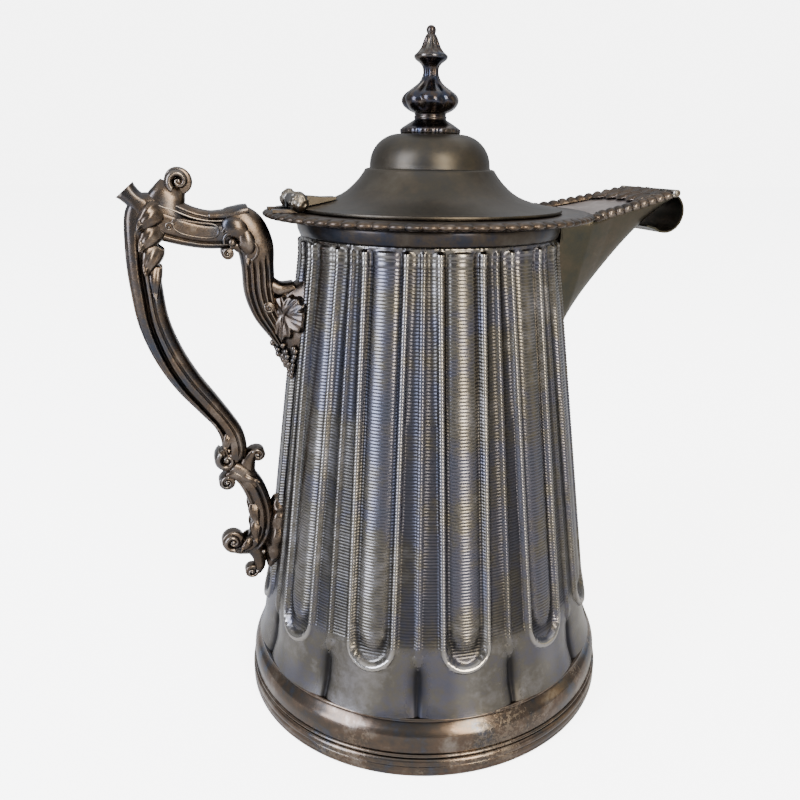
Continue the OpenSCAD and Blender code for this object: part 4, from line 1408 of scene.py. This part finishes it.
def dress_frame() -> None:
    """Give every CAD node its finish."""
    # The neck collar and the hinge leaf take the plate with the rim's shade painted into its colour.
    finishes = {
        "foot_ring": FOOT_PLATE, "bottom_plate": FOOT_PLATE, "body_shell": BODY_PLATE, "liner": ENAMEL,
        "port_sleeve": HINGE_PLATE, "neck_collar": NECK_SHADE_PAINTED_PLATE, "rim_border": BORDER_PLATE,
        "spout_trough": SPOUT_PLATE, "spout_cover": COVER_PLATE, "cover_border": BORDER_PLATE,
        "flap_ears": HINGE_PLATE, "flap_pin": HINGE_PLATE, "pour_flap": SPOUT_PLATE, "lid": LID_PLATE,
        "lid_bezel": LID_PLATE, "finial": FINIAL_PLATE, "finial_washer": HINGE_PLATE,
        "finial_nut": HINGE_PLATE, "hinge_leaf": NECK_SHADE_PAINTED_PLATE, "hinge_arm": LID_PLATE,
        "hinge_pin": HINGE_PLATE, "hinge_balls": HINGE_PLATE, "handle_grip": CAST_PLATE,
        "handle_bracket": CAST_PLATE, "grape_mount": CAST_PLATE, "handle_scroll": CAST_PLATE,
        "handle_pad": CAST_PLATE}
    for name, plate in finishes.items():
        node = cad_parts[name]
        if not node.material_slots:
            node.data.materials.append(plate.material())
        for slot in node.material_slots:
            slot.material = plate.material()


@dataclass
class Studio:
    """Camera, pale floor and soft lights."""

    eye: Point = (-111.6, -343.3, 267.5)
    heading: float = 70.8
    pitch: float = -18.9
    roll: float = 1.0
    lens: float = 33.75
    shift: tuple[float, float] = (-0.0525, 0.0125)

    def camera(self) -> None:
        """Place the camera."""
        data = bpy.data.cameras.new("camera")
        data.lens = self.lens
        data.sensor_width = 36.0
        data.clip_start = 0.01
        data.clip_end = 100.0
        data.shift_x, data.shift_y = self.shift
        item = bpy.data.objects.new("camera", data)
        look = (Matrix.Rotation(math.radians(self.heading - 90), 4, "Z")
                @ Matrix.Rotation(math.radians(90 + self.pitch), 4, "X")
                @ Matrix.Rotation(math.radians(self.roll), 4, "Z"))
        item.matrix_world = Matrix.Translation(Vector(self.eye) * MM) @ look
        bpy.context.scene.collection.objects.link(item)
        bpy.context.scene.camera = item

    def light(self, name: str, place: Point, size: tuple[float, float], power: float, colour: str) -> None:
        """Add a soft light that faces the pitcher.

        Args:
            name: The light's name.
            place: Where it stands, in metres.
            size: Its width and height, in metres.
            power: Its power in watts.
            colour: Its colour in hex.
        """
        data = bpy.data.lights.new(name, "AREA")
        data.shape = "RECTANGLE"
        data.size, data.size_y = size
        data.energy = power
        data.color = linear(colour)[:3]
        item = bpy.data.objects.new(name, data)
        item.location = place
        aim = Vector((0, 0, 0.15)) - Vector(place)
        item.rotation_euler = aim.to_track_quat("-Z", "Y").to_euler()
        bpy.context.scene.collection.objects.link(item)

    def floor(self) -> None:
        """Lay a pale paper floor that looks nearly as white as the backdrop."""
        material = empty_material("matt_white_paper")
        tree = material.node_tree
        dull = add_node(tree, "ShaderNodeBsdfDiffuse", inputs={"Color": linear("#d0d0d0")})
        paper = add_node(tree, "ShaderNodeBsdfPrincipled", inputs={
            "Base Color": linear("#f4f4f4"), "Roughness": 0.9, "Specular IOR Level": 0.1})
        glow = add_node(tree, "ShaderNodeEmission", inputs={"Color": (1, 1, 1, 1), "Strength": 5.3})
        lit = add_node(tree, "ShaderNodeAddShader", inputs={0: paper.outputs[0], 1: glow.outputs[0]})
        path = add_node(tree, "ShaderNodeLightPath")
        both = add_node(tree, "ShaderNodeMixShader", inputs={
            0: path.outputs["Is Camera Ray"], 1: dull.outputs[0], 2: lit.outputs[0]})
        add_node(tree, "ShaderNodeOutputMaterial", inputs={"Surface": both.outputs[0]})
        bm = bmesh.new()
        bmesh.ops.create_grid(bm, x_segments=2, y_segments=2, size=6.0)
        mesh = bpy.data.meshes.new("floor")
        bm.to_mesh(mesh)
        bm.free()
        mesh.materials.append(material)
        item = bpy.data.objects.new("floor", mesh)
        bpy.context.scene.collection.objects.link(item)

    def world(self) -> None:
        """White backdrop to the eye, and a softer grey room for everything that it lights."""
        world = bpy.data.worlds.new("studio")
        bpy.context.scene.world = world
        world.use_nodes = True
        tree = world.node_tree
        tree.nodes.clear()
        seen = add_node(tree, "ShaderNodeBackground", inputs={"Color": (1, 1, 1, 1), "Strength": 6.0})
        room = add_node(tree, "ShaderNodeBackground", inputs={"Color": linear("#d5d8de"), "Strength": 0.86})
        path = add_node(tree, "ShaderNodeLightPath")
        both = add_node(tree, "ShaderNodeMixShader", inputs={
            0: path.outputs["Is Camera Ray"], 1: room.outputs[0], 2: seen.outputs[0]})
        add_node(tree, "ShaderNodeOutputWorld", inputs={"Surface": both.outputs[0]})

    def build(self) -> None:
        """Set up the camera, floor and lights."""
        self.camera()
        self.floor()
        self.world()
        self.light("window_left", (-1.35, -0.55, 0.75), (0.55, 1.3), 46.0, "#dbe4fa")
        self.light("window_front", (0.24, -1.45, 0.78), (0.34, 1.2), 37.0, "#fff3e0")
        self.light("fill_right", (1.3, -0.55, 0.6), (0.4, 1.0), 1.8, "#e0d0a4")
        self.light("ceiling", (0.0, 0.0, 3.0), (5.0, 5.0), 80.0, "#ffffff")


def main() -> None:
    """Build the pitcher and its studio in order."""
    logging.basicConfig(level=logging.INFO, format="%(message)s")
    Studio().build()
    dress_frame()
    for part in (FlutedBody(), Foot(), Rim(), Lid(), Spout(), PourFlap(), LidHinge(), HandleGrip(),
                 HandleBracket(), GrapeMount(), HandleScroll(), HandlePad()):
        part.build()


if __name__ == "__main__":
    main()
